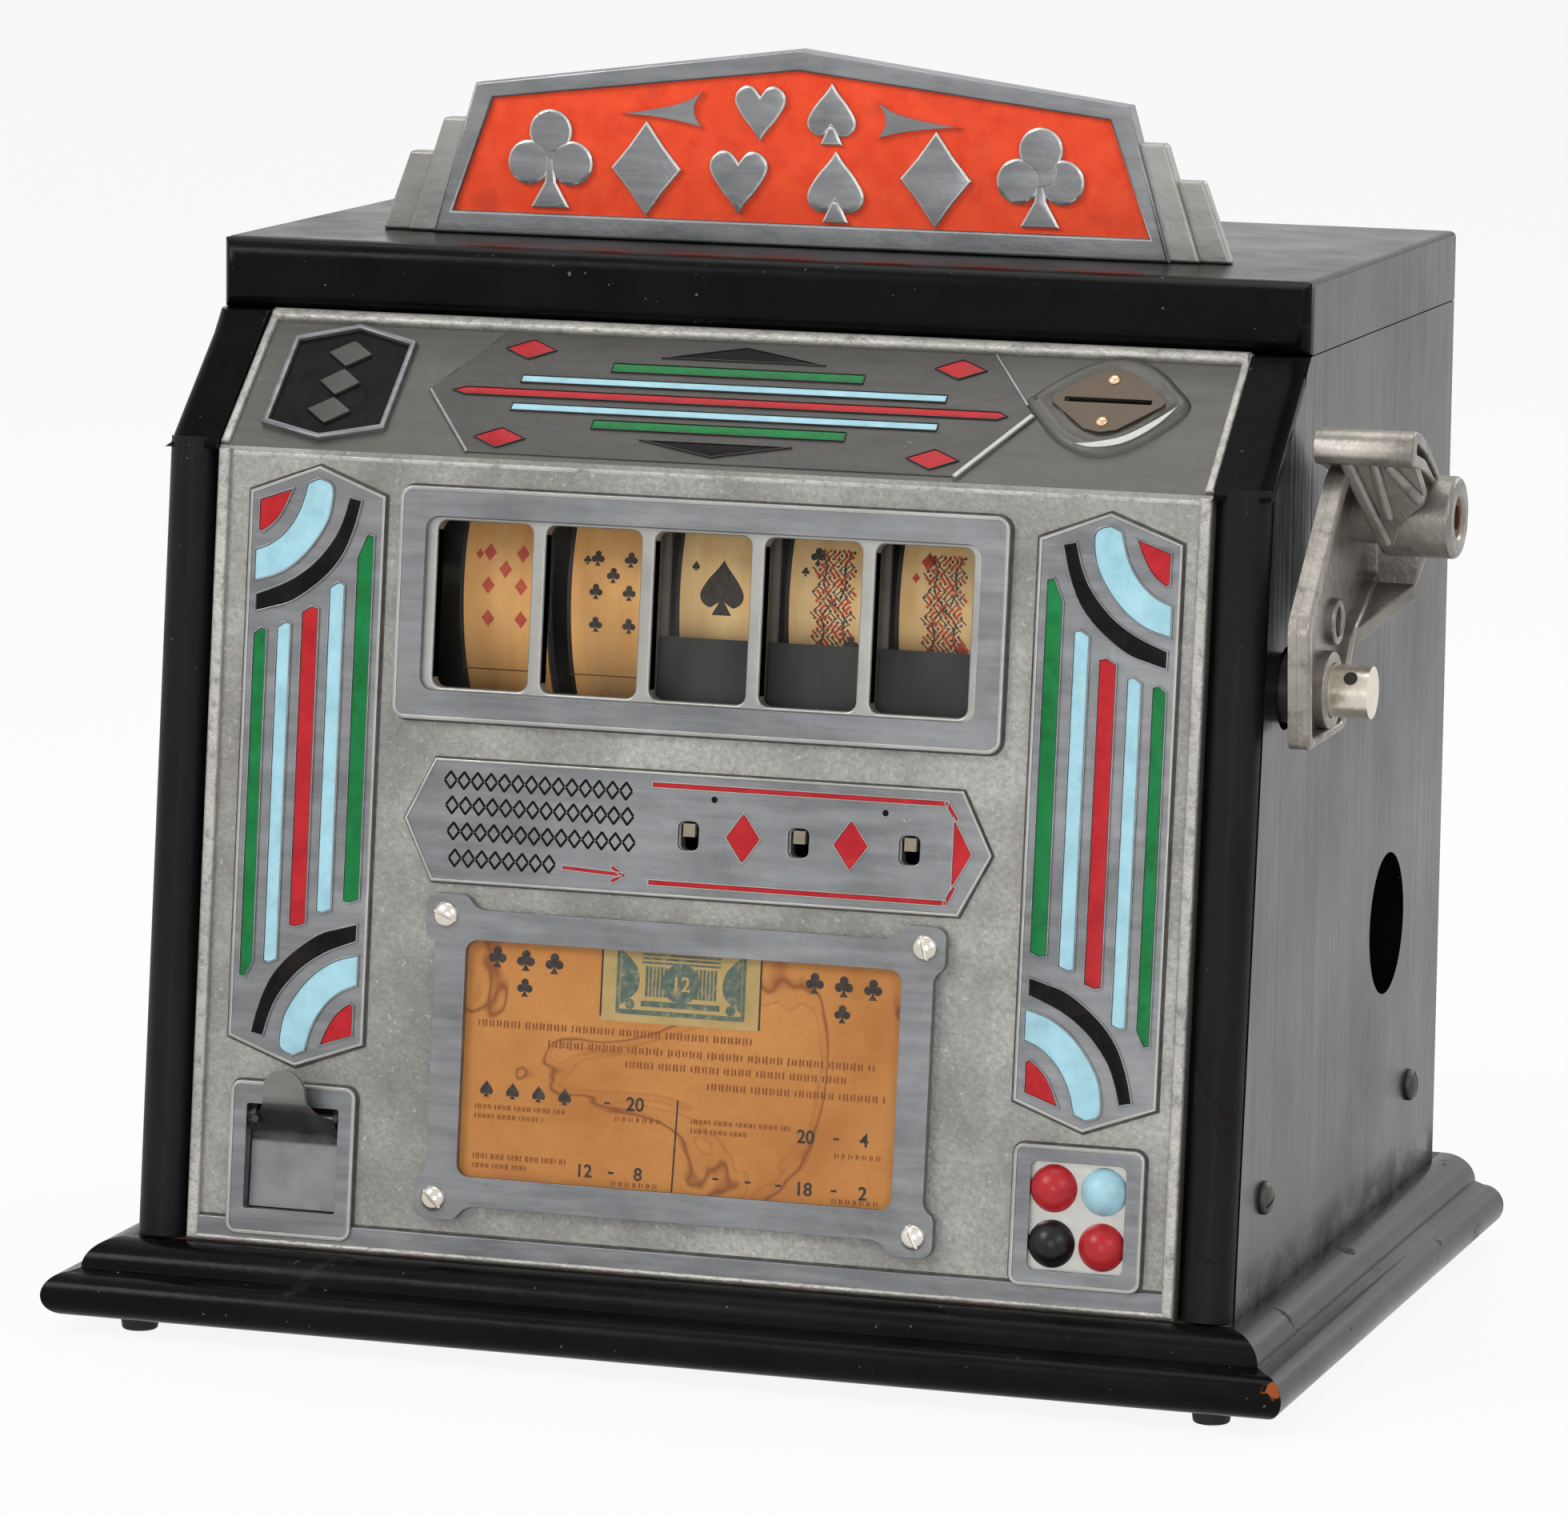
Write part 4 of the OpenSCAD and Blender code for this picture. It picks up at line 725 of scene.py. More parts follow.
# Two tall pointed plates beside the windows: a quarter-round of red, blue and black
# arcs in each end and five coloured stripes between, mirrored on the right.
tall_x, tall_mid = 94.5, 112.2
red_tip = ([(-108.6, 173.9), (-108.6, 167.0)]
           + curve_through([(-107.8, 166.6), (-105.1, 168.7), (-102.9, 171.8), (-100.8, 176.6)], 4))
blue_arc = (curve_through([(-109.3, 162.1), (-105.8, 163.6), (-102.6, 166.1),
                           (-100.1, 169.3), (-98.3, 173.0), (-96.9, 178.2)], 4)
            + curve_through([(-94.2, 179.4), (-90.9, 177.8), (-91.2, 171.9), (-92.8, 167.8), (-95.9, 163.2),
                             (-99.7, 159.4), (-104.2, 156.7), (-109.3, 155.2)], 4))
black_arc = (curve_through([(-108.7, 151.8), (-101.1, 155.0), (-95.0, 159.3),
                            (-90.3, 164.9), (-87.9, 169.9), (-86.4, 175.3)], 4)
             + curve_through([(-83.6, 174.7), (-85.2, 168.2), (-87.9, 161.8),
                              (-92.3, 156.4), (-99.3, 151.1), (-104.8, 149.2), (-108.7, 148.1)], 4))
stripes = [("green", -107.4, 62.6, 143.6, 1.5, 0.9, 3.6),
           ("light_blue", -101.5, 66.2, 145.3, 1.6, 0.9, 0.9), ("red", -95.1, 75.0, 149.2, 1.95, 0.9, 0.9),
           ("light_blue", -88.7, 78.6, 155.2, 1.75, 0.9, 0.9), ("green", -82.0, 81.4, 166.6, 1.9, 5.0, 0.9)]


def turned(points):
    # the same outline half a turn round the middle of the plate
    return [(-2 * tall_x - x, 2 * tall_mid - s) for x, s in points]


def stripe(x, low, high, half_w, fall, rise):
    return [(x - half_w, low + 0.3), (x - half_w * 0.2, low), (x + half_w, low + rise), (x + half_w, high),
            (x + half_w * 0.2, high + 0.4), (x - half_w, high - fall)]


cells = {"red": [red_tip, turned(red_tip)], "light_blue": [blue_arc, turned(blue_arc)],
         "black": [black_arc, turned(black_arc)], "green": []}
for tint, *sizes in stripes:
    cells[tint].append(stripe(*sizes))
for sign, side_name, shift in ((1, "left", (0, 0, 0)), (-1, "right", (2.2, -1.3, 0))):
    flip = on_lower @ Matrix.Translation(shift) @ Matrix.Scale(sign, 4, (1, 0, 0))
    outline = [(-94.3, 42.2), (-77.6, 48.4), (-77.6, 176.1), (-94.2, 182.4),
               (-111.3, 176.1), (-111.3, 48.4)]
    tall = raised(outline, (), -0.2, 0.9, 0.5)
    tall_lines = bmesh.new()
    for tint, shapes in cells.items():
        inlay(shapes, flip, "tall_plate_%s_%s" % (side_name, tint), tint, 0.9, 0.3, 0.36, tall_lines)
    cast("tall_plate_%s" % side_name, tall, flip, raised_metal)
    cast("tall_plate_lines_%s" % side_name, tall_lines, flip, raised_metal)
    outlined([(sign * x + shift[0], s + shift[1]) for x, s in outline], 0.85, 0.75, 0.55)

# Lever strip: a long plate with a point at each end and a raised edge line, red
# enamel lines, two diamonds and an arrow, and the three square holes of the levers.
strip_outline = [(-69.8, lever_s), (-62.6, lever_s - 14.3), (64.9, lever_s - 14.3), (72.2, lever_s),
                 (64.9, lever_s + 14.3), (-62.6, lever_s + 14.3)]
lever_holes = [box_outline(x - 0.4, lever_s, 4.9, 6.6, 1.5) for x in windows[2:]]
strip = raised(strip_outline, lever_holes, -0.3, 0.8, 0.35, 2)
cast("lever_strip", strip, on_lower, raised_metal)
strip_line = raised(strip_outline, [grow(strip_outline, -0.7)], -0.2, 1.1, 0.25, 2)
outlined(strip_outline, 0.8, 0.3, 0.45)


def diamond(x, y, w, h):
    return [(x - w, y), (x - w * 0.2, y - h * 0.83), (x, y - h), (x + w * 0.2, y - h * 0.83), (x + w, y),
            (x + w * 0.2, y + h * 0.83), (x, y + h), (x - w * 0.2, y + h * 0.83)]


def bar(x0, y0, x1, y1, width):
    along = Vector((x1 - x0, y1 - y0)).normalized() * width / 2
    return [(x0 + along.y, y0 - along.x), (x1 + along.y, y1 - along.x), (x1 - along.y, y1 + along.x),
            (x0 - along.y, y0 + along.x)]


red_marks = [diamond(12.9, lever_s + 0.3, 4.1, 5.6), diamond(38.7, lever_s + 0.3, 4.1, 5.6),
             bar(-9.4, lever_s + 11.3, 61.3, lever_s + 11.2, 1.1),
             bar(-9.4, lever_s - 11.2, 61.8, lever_s - 11.4, 1.1),
             bar(61.0, lever_s + 11.6, 63.6, lever_s + 7.6, 0.9),
             bar(61.6, lever_s - 11.8, 63.6, lever_s - 7.6, 0.9),
             [(63.0, lever_s - 7.8), (67.4, lever_s), (63.0, lever_s + 7.8)],
             bar(-30.4, lever_s - 9.1, -16.0, lever_s - 9.9, 0.8),
             [(-18.3, lever_s - 11.9), (-14.9, lever_s - 10.0),
              (-18.3, lever_s - 7.9), (-18.6, lever_s - 8.6), (-16.2, lever_s - 10.0),
              (-18.6, lever_s - 11.2)]]
inlay(red_marks, on_lower, "lever_strip_red", "red", 0.8, 0.12, 0.22, strip_line)
cast("lever_strip_edge", strip_line, on_lower, rim_metal)
lozenges = []
for low, count in ((9.4, 14), (3.6, 14), (-2.4, 14), (-8.6, 8)):
    for k in range(count):
        x, s = -57.8 + 3.3 * k - 0.1 * low, lever_s + low
        for way in (-1, 1):
            lozenges += [bar(x - 1.5, s, x + 0.1, s + way * 2.1, 0.72),
                         bar(x + 1.5, s, x - 0.1, s + way * 2.1, 0.72)]
lozenges += [circle(x, lever_s + s, 0.8, 12) for x, s in ((5.6, 8.7), (46.6, 8.2))]
inlay(lozenges, on_lower, "lever_strip_lozenges", "black", 0.8, 0.03)

# Cup frame: a raised border round the mouth of the gum cup, with the hinge ears of
# the flap behind it; the display beside the card has four enamelled gum balls.
cup_line = box_outline(cup_x, 20.3, 31.2, 36.0, 2.6, 5)
cup_frame = raised(cup_line, [box_outline(cup_x, (cup_low + cup_high) / 2, cup_w, cup_high - cup_low, 0.6)],
                   -0.2, relief, 0.6)
cast("cup_frame", cup_frame, on_lower, foot_metal)
display_line = box_outline(gum_x, gum_s, 31.0, 32.4, 2.5, 5)
display_frame = raised(display_line, [box_outline(gum_x, gum_s, 22.4, 24.8, 1.6, 5)], -0.2, relief, 0.6)
cast("gum_display_frame", display_frame, on_lower, raised_metal)
outlined(display_line, relief)
outlined(cup_line, relief)
cast("raised_lips", lips, on_lower, rim_metal)
cast("casting_grime_and_shade", grooves, on_lower, groove_black)
display_ground = plate(box_outline(gum_x, gum_s, 22.6, 25.0, 1.6, 5), (), -0.2, 0.12)
cast("gum_display_ground", display_ground, on_lower, bright_line)
ball_r, ball_x, ball_s = 5.75, 5.9, 6.3
for name, x, s, tint in (("upper_left", -ball_x, ball_s, "red"),
                         ("upper_right", ball_x, ball_s, "light_blue"),
                         ("lower_left", -ball_x, -ball_s, "black"),
                         ("lower_right", ball_x, -ball_s, "red")):
    ball = bmesh.new()
    bmesh.ops.create_uvsphere(ball, u_segments=48, v_segments=28, radius=ball_r)
    cut(ball, (0, 0, 1.5), (0, 0, 1), clear_inner=True)
    bmesh.ops.translate(ball, vec=(gum_x + x, gum_s + s, -1.5), verts=ball.verts[:])
    glaze = enamels[tint].copy()
    glaze.name = "ball_glaze_" + name
    for node in glaze.node_tree.nodes:
        if node.type == "BSDF_PRINCIPLED":
            node.inputs["Specular IOR Level"].default_value = 0.3
    finish_piece("gum_ball_" + name, ball, on_lower, glaze)

# Sloping face: a long hexagon field with five enamel stripes, two black triangles and
# four red diamonds, a black cartouche on the left and the dished boss of the coin slot.
hexagon = [(-73.3, 20.7), (-59.5, 40.2), (59.5, 40.2), (73.3, 20.7), (59.0, 1.6), (-59.0, 1.6)]
field = raised(hexagon, (), -0.2, 0.35, 0.3, 2)
cast("hexagon_field", field, on_slope, field_metal)
# the field's edges in finishes by side: a dark line on the upper left as painted shadow, lighter lines on
# the lower left and upper right and a bright ridge on the lower right as painted highlight
for name, corners, width, high, finish in (
        ("field_shadow_line", ((-73.3, 20.7), (-59.5, 40.2)), 0.8, 0.45, groove_black),
        ("field_low_left_line", ((-73.3, 20.7), (-59.0, 1.6)), 0.8, 0.7, raised_metal),
        ("field_top_right_line", ((59.5, 40.2), (70.6, 24.6)), 0.8, 0.7, raised_metal),
        ("field_highlight_ridge", ((72.6, 21.5), (58.6, 1.2)), 1.3, 1.0, rim_metal)):
    cast(name, ridge(corners, on_slope, width, high, 0.3), Matrix.Identity(4), finish)
slope_marks = {
    "green": [bar(-31, 30.3, 30, 30.3, 2.6), bar(-31, 12.0, 30, 12.0, 2.6)],
    "light_blue": [bar(-52, 25.4, 51, 25.4, 2.1), bar(-52, 16.4, 51, 16.4, 2.1)],
    "red": [[(-67.5, 20.9), (-64.5, 19.8), (64.5, 19.8), (66.5, 20.9), (64.5, 22.0), (-64.5, 22.0)]]
           + [diamond(x, t, 6.0, 3.0) for x in (-52.3, 52.3) for t in (34.9, 6.4)],
    "black": [[(0, 38.4), (-18.5, 34.2), (18.5, 34.2)], [(0, 3.6), (17, 7.6), (-17, 7.6)]]}
slope_lines = bmesh.new()
for tint, shapes in slope_marks.items():
    inlay(shapes, on_slope, "slope_" + tint, tint, 0.35, 0.22, 0.18, slope_lines)
cast("slope_lines", slope_lines, on_slope, field_metal)
cartouche = [(-96, 4.2), (-82.2, 8.0), (-82.2, 34.0), (-96, 38.4), (-109.8, 34.0), (-109.8, 8.0)]
cartouche_rim = raised(grow(cartouche, 1.5), [cartouche], -0.2, 1.5, 0.5)
cast("cartouche_rim", cartouche_rim, on_slope, foot_metal)
cartouche_marks = bmesh.new()
for t, wide in ((30.4, 5.4), (21.2, 5.0), (12.0, 5.4)):
    mark = raised(diamond(-96, t, wide, 4.1), (), 0.0, 1.1, 0.3, 2)
    join(cartouche_marks, mark)
cast("cartouche_marks", cartouche_marks, on_slope, field_metal)
finish_piece("cartouche_field", plate(cartouche, (), -0.2, 0.3), on_slope, enamels["black"])

# Window glass: one old pane behind the five windows, clipped to the casting's back,
# with a film of dust.
pane, tree, shader, where = new_finish("dusty_glass", roughness=0.08, specular=0.12)
film = noise(tree, where, 55, 5, 0.7, (1, 1, 0.4))
paint(tree, shader, ramp(tree, film, (0.3, "#6d6a64"), (0.8, "#b9b5ab")))
tree.links.new(ramp(tree, film, (0.35, 0.01), (0.8, 0.06)), shader.inputs["Alpha"])
dress("window_glass", pane)

# Reel strips: printed paper bands glued round the wheels, eight cards on each. The
# old paper has gone orange; the pips are thin red and black ink.
reel_low, reel_high = (corner * 1000 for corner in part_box("reel_strip_3"))
reel_y, reel_z = (reel_low.y + reel_high.y) / 2, (reel_low.z + reel_high.z) / 2
reel_r, strip_w = (reel_high.z - reel_low.z) / 2, reel_high.x - reel_low.x
card_h = 2 * math.pi * reel_r / 8
on_reels = Matrix.Translation((0, reel_y * 0.001, reel_z * 0.001)) @ MM @ upright
reel_paper, tree, shader, where = new_finish("reel_paper", roughness=0.55, specular=0.3)
column = parts_of(tree, where)[0]
fade = between(tree, column, -0.02, -0.008)
streak = noise(tree, where, 240, 4, 0.6, (1, 0.08, 0.08))
mottle = noise(tree, where, 60, 5, 0.65)
old = ramp(tree, streak, (0.3, "#eba95c"), (0.7, "#f6bd75"))
pale = ramp(tree, streak, (0.3, "#f2c27d"), (0.7, "#fbd99c"))
base = mixed(tree, fade, old, pale)
paint(tree, shader, mixed(tree, ramp(tree, mottle, (0.45, 0.0), (0.85, 0.5)), base, "#b8722f"))
bumps(tree, shader, (mottle, 0.00008))
inks = {}
for name, tint, faint in (("red_ink", "#c2402c", "#d26a45"), ("black_ink", "#2b2624", "#4d4239"),
                          ("blue_ink", "#44465c", "#5f5f70"), ("brown_ink", "#7a4322", "#96602f")):
    ink, tree, shader, where = new_finish(name, roughness=0.55, specular=0.3)
    patchy = noise(tree, where, 700, 4, 0.7)
    paint(tree, shader, ramp(tree, patchy, (0.42, tint), (0.75, faint)))
    inks[name] = ink


def suit(kind, x, y, w, fine=1):
    # the outline of a card suit's mark, w is half its width
    if kind == "diamond":
        points = [(0, -1.3), (0.5, -0.6), (1, 0), (0.5, 0.6), (0, 1.3), (-0.5, 0.6), (-1, 0), (-0.5, -0.6)]
    elif kind == "club":
        points = ([(0.45, -1.12), (0.14, -0.62), (0.09, -0.4)]
                  + arc(0.52, -0.12, 0.48, -150, 106, 3 + 3 * fine)
                  + arc(0, 0.6, 0.48, -34, 214, 3 + 3 * fine)
                  + arc(-0.52, -0.12, 0.48, 74, 330, 3 + 3 * fine)
                  + [(-0.09, -0.4), (-0.14, -0.62), (-0.45, -1.12)])
    else:
        lobe = curve_through([(0, 0.6), (0.28, 0.93), (0.6, 0.98), (0.92, 0.74),
                              (0.98, 0.34), (0.64, -0.25), (0.26, -0.7), (0, -1.08)], fine)
        if kind == "spade":
            lobe = [(0.45, -1.2), (0.13, -0.64)] + [(a, 0.12 - b) for a, b in lobe if a > 0.45 or b < 0]
        points = lobe + [(-a, b) for a, b in lobe[-2::-1] if a]
    return [(x + a * w, y + b * w) for a, b in points]


pip_rows = {2: [(0.75, 7.7), (0.75, -7.7)], 3: [(0.75, 7.7), (0.75, 0), (0.75, -7.7)],
            4: [(-3.3, 7.7), (4.8, 7.7), (-3.3, -7.7), (4.8, -7.7)]}
pip_rows[5] = pip_rows[4] + [(0.75, 0)]
pip_rows[6] = pip_rows[4] + [(-3.3, 0), (4.8, 0)]
pip_rows[7] = pip_rows[6] + [(0.75, 3.9)]
pip_rows[8] = pip_rows[7] + [(0.75, -3.9)]
# the cards in the order they pass: a suit's letter and its pips, 0 for a picture card
suits = {"C": "club", "D": "diamond", "H": "heart", "S": "spade"}
reel_cards = ("D7 S4 H8 C3 D0 S6 H2 C5", "C7 H5 S0 D6 C2 H1 S8 D4", "S1 D5 C6 H0 S3 D8 C4 H7",
              "C0 S2 D3 H6 C8 S5 D1 H4", "D0 C5 H3 S7 D2 C1 H8 S4")


def court(kind, middle):
    # a double-ended picture card without a figure: small bars and diamonds in columns,
    # curved lines down both sides and a suit's mark at each end
    own = "red_ink" if kind in ("diamond", "heart") else "black_ink"
    marks = {"red_ink": [], "black_ink": [], "blue_ink": [], "brown_ink": []}
    for k in range(-13, 14):
        v, edge = middle + 0.86 * k, 3.4 + 1.7 * abs(math.sin(0.55 * k + 0.6))
        for j in range(9):
            x, kind_k = -3.6 + 1.22 * j + 0.61 * (k % 2), (5 * k + 3 * j + j * j) % 7
            if abs(x - 1.4) > edge:
                continue
            lean_y = 0.55 * (1 if (k + j) % 4 < 2 else -1)
            if kind_k in (0, 4):
                marks["red_ink"].append(bar(x - 0.55, v - lean_y, x + 0.55, v + lean_y, 0.62))
            elif kind_k in (1, 5):
                marks["black_ink"].append(bar(x - 0.6, v + lean_y, x + 0.6, v - lean_y, 0.3))
            elif kind_k == 2:
                marks["black_ink"].append(suit("diamond", x, v, 0.4, 2))
            elif kind_k == 3:
                marks["blue_ink"].append(bar(x - 0.4, v, x + 0.4, v + 0.1, 0.5))
            else:
                marks["brown_ink"].append(suit("diamond", x, v, 0.5, 2))
    for way in (1, -1):
        for side_k in (-1, 1):
            curve = curve_through([(1.4 + way * (0.5 + side_k * 0.9), middle),
                                   (1.4 + side_k * 2.6, middle + way * 3.6),
                                   (1.4 + side_k * 2.2, middle + way * 7.4),
                                   (1.4 + side_k * 3.6, middle + way * 11.4)], 4)
            marks["black_ink"] += [bar(*a, *b, 0.42) for a, b in zip(curve, curve[1:])]
        marks[own].append(suit(kind, 1.3 - way * 4.4, middle + way * 10.0, 1.8, 2))
    return marks


for number, cards in enumerate(reel_cards, 1):
    middle_x = (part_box("reel_strip_%d" % number)[0].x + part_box("reel_strip_%d" % number)[1].x) * 500
    band = plate(circle(0, 0, reel_r, 144), [circle(0, 0, reel_r - 0.4, 144)],
                 middle_x - strip_w / 2 + 1.7, middle_x + strip_w / 2)
    finish_piece("reel_band_%d" % number, band, on_reels, reel_paper, "reel_%d" % number,
                 ("reel_strip_%d" % number,))
    prints = {"red_ink": [], "black_ink": [], "blue_ink": [], "brown_ink": []}
    for turn_k, card in enumerate(cards.split()):
        kind, count = suits[card[0]], int(card[1])
        middle = 4.4 + card_h * turn_k
        tint = "red_ink" if kind in ("diamond", "heart") else "black_ink"
        prints["brown_ink"].append(bar(-10.6, middle - 20.4, 10.6, middle - 20.4, 0.3))
        prints[tint].append(suit(kind, -5.8, middle + 7.2, 0.95))
        if count == 1:
            prints[tint].append(suit(kind, 0.9, middle + 2.4, 5.3, 3))
        elif count == 0:
            for name, shapes in court(kind, middle + 1.0).items():
                prints[name] += shapes
        else:
            for x, v in pip_rows[count]:
                prints[tint].append(suit(kind, x, middle + v, 1.62, 2))
    for name, shapes in prints.items():
        if not shapes:
            continue
        ink_film = bmesh.new()
        for depth, points in enumerate(shapes):
            flat = bmesh.new()
            bmesh.ops.triangle_fill(flat, use_beauty=True, use_dissolve=False,
                                    edges=ring(flat, points, 0.03 + 0.006 * (depth % 3)))
            low, high = min(p[1] for p in points), max(p[1] for p in points)
            for k in range(1, int((high - low) / 1.4) + 1):
                cut(flat, (0, low + 1.4 * k, 0), (0, 1, 0))
            join(ink_film, flat)
        for corner in ink_film.verts:
            angle, r = corner.co.y / reel_r, reel_r + corner.co.z
            corner.co = (middle_x + corner.co.x, reel_y - r * math.cos(angle), reel_z + r * math.sin(angle))
        bmesh.ops.recalc_face_normals(ink_film, faces=ink_film.faces[:])
        finish_piece("reel_%s_%d" % (name, number), ink_film, MM, inks[name],
                     "reel_%d" % number)

# Reel wheels, their shaft, pawls, rods and side plates: pressed sheet for the wheels, dark as painted
# shade where they show beside the paper, bright steel bar and zinc plated sheet for the rest, all dulled.


def plain_metal(name, low, high, rough, metallic=0.85, rust="#7a4a2c", rust_share=0.5, grain=(1, 1, 1)):
    finish, tree, shader, where = new_finish(name, metallic=metallic, roughness=rough)
    cloud = noise(tree, where, 45, 5, 0.65)
    lines = noise(tree, where, 420, 4, 0.6, grain)
    spots = ramp(tree, noise(tree, where, 120, 5, 0.75), (0.66, 0.0), (0.76, rust_share))
    base = mixed(tree, spots, ramp(tree, cloud, (0.3, low), (0.75, high)), rust)
    paint(tree, shader, base, ramp(tree, cloud, (0.3, max(0.08, rough - 0.08)), (0.8, rough + 0.14)))
    bumps(tree, shader, (cloud, 0.0002), (lines, 0.00006))
    return finish


zinc = plain_metal("dull_zinc", "#8d9296", "#b0b4b6", 0.42)
steel = plain_metal("bright_steel_bar", "#a9a9a8", "#cfcecb", 0.24, rust_share=0.35)
drum_steel_painted_shade = plain_metal("drum_sheet_painted_shade", "#1b1a19", "#2f2d2a", 0.5, 0.4, "#3c2c20", 0.5)
dark_steel = plain_metal("oiled_steel", "#2e2d2c", "#4a4744", 0.4, 0.75, "#5b3a26", 0.4)
for k in range(1, 6):
    dress("reel_wheel_%d" % k, drum_steel_painted_shade)
    rim_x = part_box("reel_strip_%d" % k)[1].x * 1000
    rim = plate(circle(0, 0, reel_r - 0.5, 120), [circle(0, 0, reel_r - 4.0, 120)],
                rim_x - 0.05, rim_x + 0.15)
    finish_piece("reel_rim_%d" % k, rim, on_reels, zinc,
                 "reel_%d" % k)
dress("reel_shaft", steel)
dress("tie_rods", steel)
for node in ("mech_plate_left", "mech_plate_right", "stop_pawls"):
    dress(node, zinc)

# Shutters: blued sheet steel plates that slide behind the last three windows, in
# pressed guides screwed to the back of the casting.
blued_sheet = plain_metal("blued_sheet", "#0d0f10", "#15181a", 0.55, 0.2, "#2b2725", 0.4, (1, 0.1, 0.1))
for k in range(1, 4):
    dress("shutter_%d" % k, blued_sheet)
guide_sheet = plain_metal("guide_sheet", "#56524c", "#77726a", 0.55, 0.6, "#6b4128", 0.6)
dress("shutter_guides", guide_sheet)

# Levers: small forged steel fingers on one rod, worn pale and brown at their tips.
lever_steel = plain_metal("lever_steel", "#766c5e", "#9c917f", 0.42, 0.55, "#4a3524", 0.8)
for k in range(1, 4):
    dress("lever_%d" % k, lever_steel)

# Award card: printed orange card stock in a slot under its frame, browned by damp,
# with a green engraved ticket pasted at the top, rules, marks and plain numbers.
card_s, card_hw, card_hh = 47.4, 52.7, 27.5
award_paper, tree, shader, where = new_finish("award_paper", roughness=0.5, specular=0.35)
mottle = noise(tree, where, 38, 5, 0.6)
fibre = noise(tree, where, 900, 3, 0.6)
base = ramp(tree, mottle, (0.3, "#a8692f"), (0.5, "#b87a3c"), (0.75, "#c78a4a"))
base = mixed(tree, ramp(tree, fibre, (0.4, 0.0), (0.8, 0.25)), base, "#96571f")
tide_field = noise(tree, where, 21, 3, 0.55, warp=0.7)
tide = ramp(tree, tide_field, (0.0, 0.0), (0.515, 0.0), (0.53, 0.55), (0.536, 0.85),
            (0.548, 0.12), (0.6, 0.0))
inner_tide = ramp(tree, tide_field, (0.0, 0.0), (0.575, 0.0), (0.585, 0.4), (0.592, 0.0))
base = mixed(tree, tide, base, "#6f3513")
base = mixed(tree, inner_tide, base, "#8d4b1e")
paint(tree, shader, base, ramp(tree, mottle, (0.3, 0.42), (0.7, 0.6)))
bumps(tree, shader, (fibre, 0.00004), (tide_field, 0.0006))
finish_piece("award_sheet", plate(box_outline(0, card_s, 2 * card_hw + 4, 2 * card_hh + 4), (), 0.02, 0.4),
             on_lower, award_paper, stands_for=("award_card",))

ticket_paper, tree, shader, where = new_finish("ticket_paper", roughness=0.55, specular=0.3)
mottle = noise(tree, where, 90, 5, 0.65)
paint(tree, shader, ramp(tree, mottle, (0.3, "#a58b57"), (0.7, "#bca06b")))
bumps(tree, shader, (mottle, 0.00005))
green_ink, tree, shader, where = new_finish("green_ink", roughness=0.55, specular=0.3)
patchy = noise(tree, where, 500, 4, 0.7)
paint(tree, shader, ramp(tree, patchy, (0.35, "#45564e"), (0.55, "#5d695d"), (0.68, "#968a69")))


def film(name, shapes, low, finish):
    # thin flat shapes that lie on the card
    sheet = bmesh.new()
    for depth, points in enumerate(shapes):
        join(sheet, plate(points, (), low - 0.02, low + 0.015 + 0.004 * (depth % 3)))
    return finish_piece(name, sheet, on_lower, finish)


ticket_x, ticket_s, ticket_w, ticket_h = -0.6, 66.9, 38.0, 17.0
film("pasted_ticket", [box_outline(ticket_x, ticket_s, ticket_w, ticket_h)], 0.42, ticket_paper)
film("ticket_edges", [bar(ticket_x - 19.2, 59.4, ticket_x - 19.2, 75, 0.45),
                      bar(ticket_x + 19.2, 58.6, ticket_x + 19.2, 74.5, 0.45)],
     0.44, inks["black_ink"])
engraved = [bar(ticket_x - 15.3, 60.8, ticket_x + 15.3, 60.8, 1.1),
            bar(ticket_x - 9.5, 62.9, ticket_x + 9.5, 62.9, 1.3)]
for sign in (-1, 1):
    engraved += [bar(ticket_x + sign * 15.2, 60.4, ticket_x + sign * 15.2, 75.2, 0.8)]
    engraved += [curve_through([(ticket_x + sign * 14.6, 62.2), (ticket_x + sign * 10.4, 66.0),
                                (ticket_x + sign * 10.8, 71.2), (ticket_x + sign * 14.6, 75.0)], 5)]
    engraved += [circle(ticket_x + sign * 12.2, 62.6, 1.2, 12)]
    for k in range(6):
        line_x = ticket_x + sign * (3.8 + 0.9 * k)
        engraved.append(bar(line_x, 64.6, line_x, 71.6, 0.6))
engraved += [bar(ticket_x - 9.5, 72.4 + 0.95 * k, ticket_x + 9.5, 72.4 + 0.95 * k, 0.5) for k in range(4)]
engraved += [circle(ticket_x, 68.0, 4.6, 24)]
film("ticket_engraving", engraved, 0.47, green_ink)


def number(text, x, s, height, low=0.44):
    # a plain printed number, filled figures turned into a thin mesh
    drawn = bpy.data.curves.new("figure", "FONT")
    drawn.body = text
    drawn.size = height * 1.38
    drawn.align_x = "CENTER"
    drawn.extrude = 0.012
    drawn.offset = 0.075 * height / 3
    shape = bpy.data.objects.new("figure", drawn)
    scene.collection.objects.link(shape)
    mesh = bpy.data.meshes.new_from_object(shape.evaluated_get(bpy.context.evaluated_depsgraph_get()))
    bpy.data.objects.remove(shape)
    bm = bmesh.new()
    bm.from_mesh(mesh)
    bpy.data.meshes.remove(mesh)
    bmesh.ops.translate(bm, vec=(x, s - height / 2, low + 0.012), verts=bm.verts[:])
    return bm


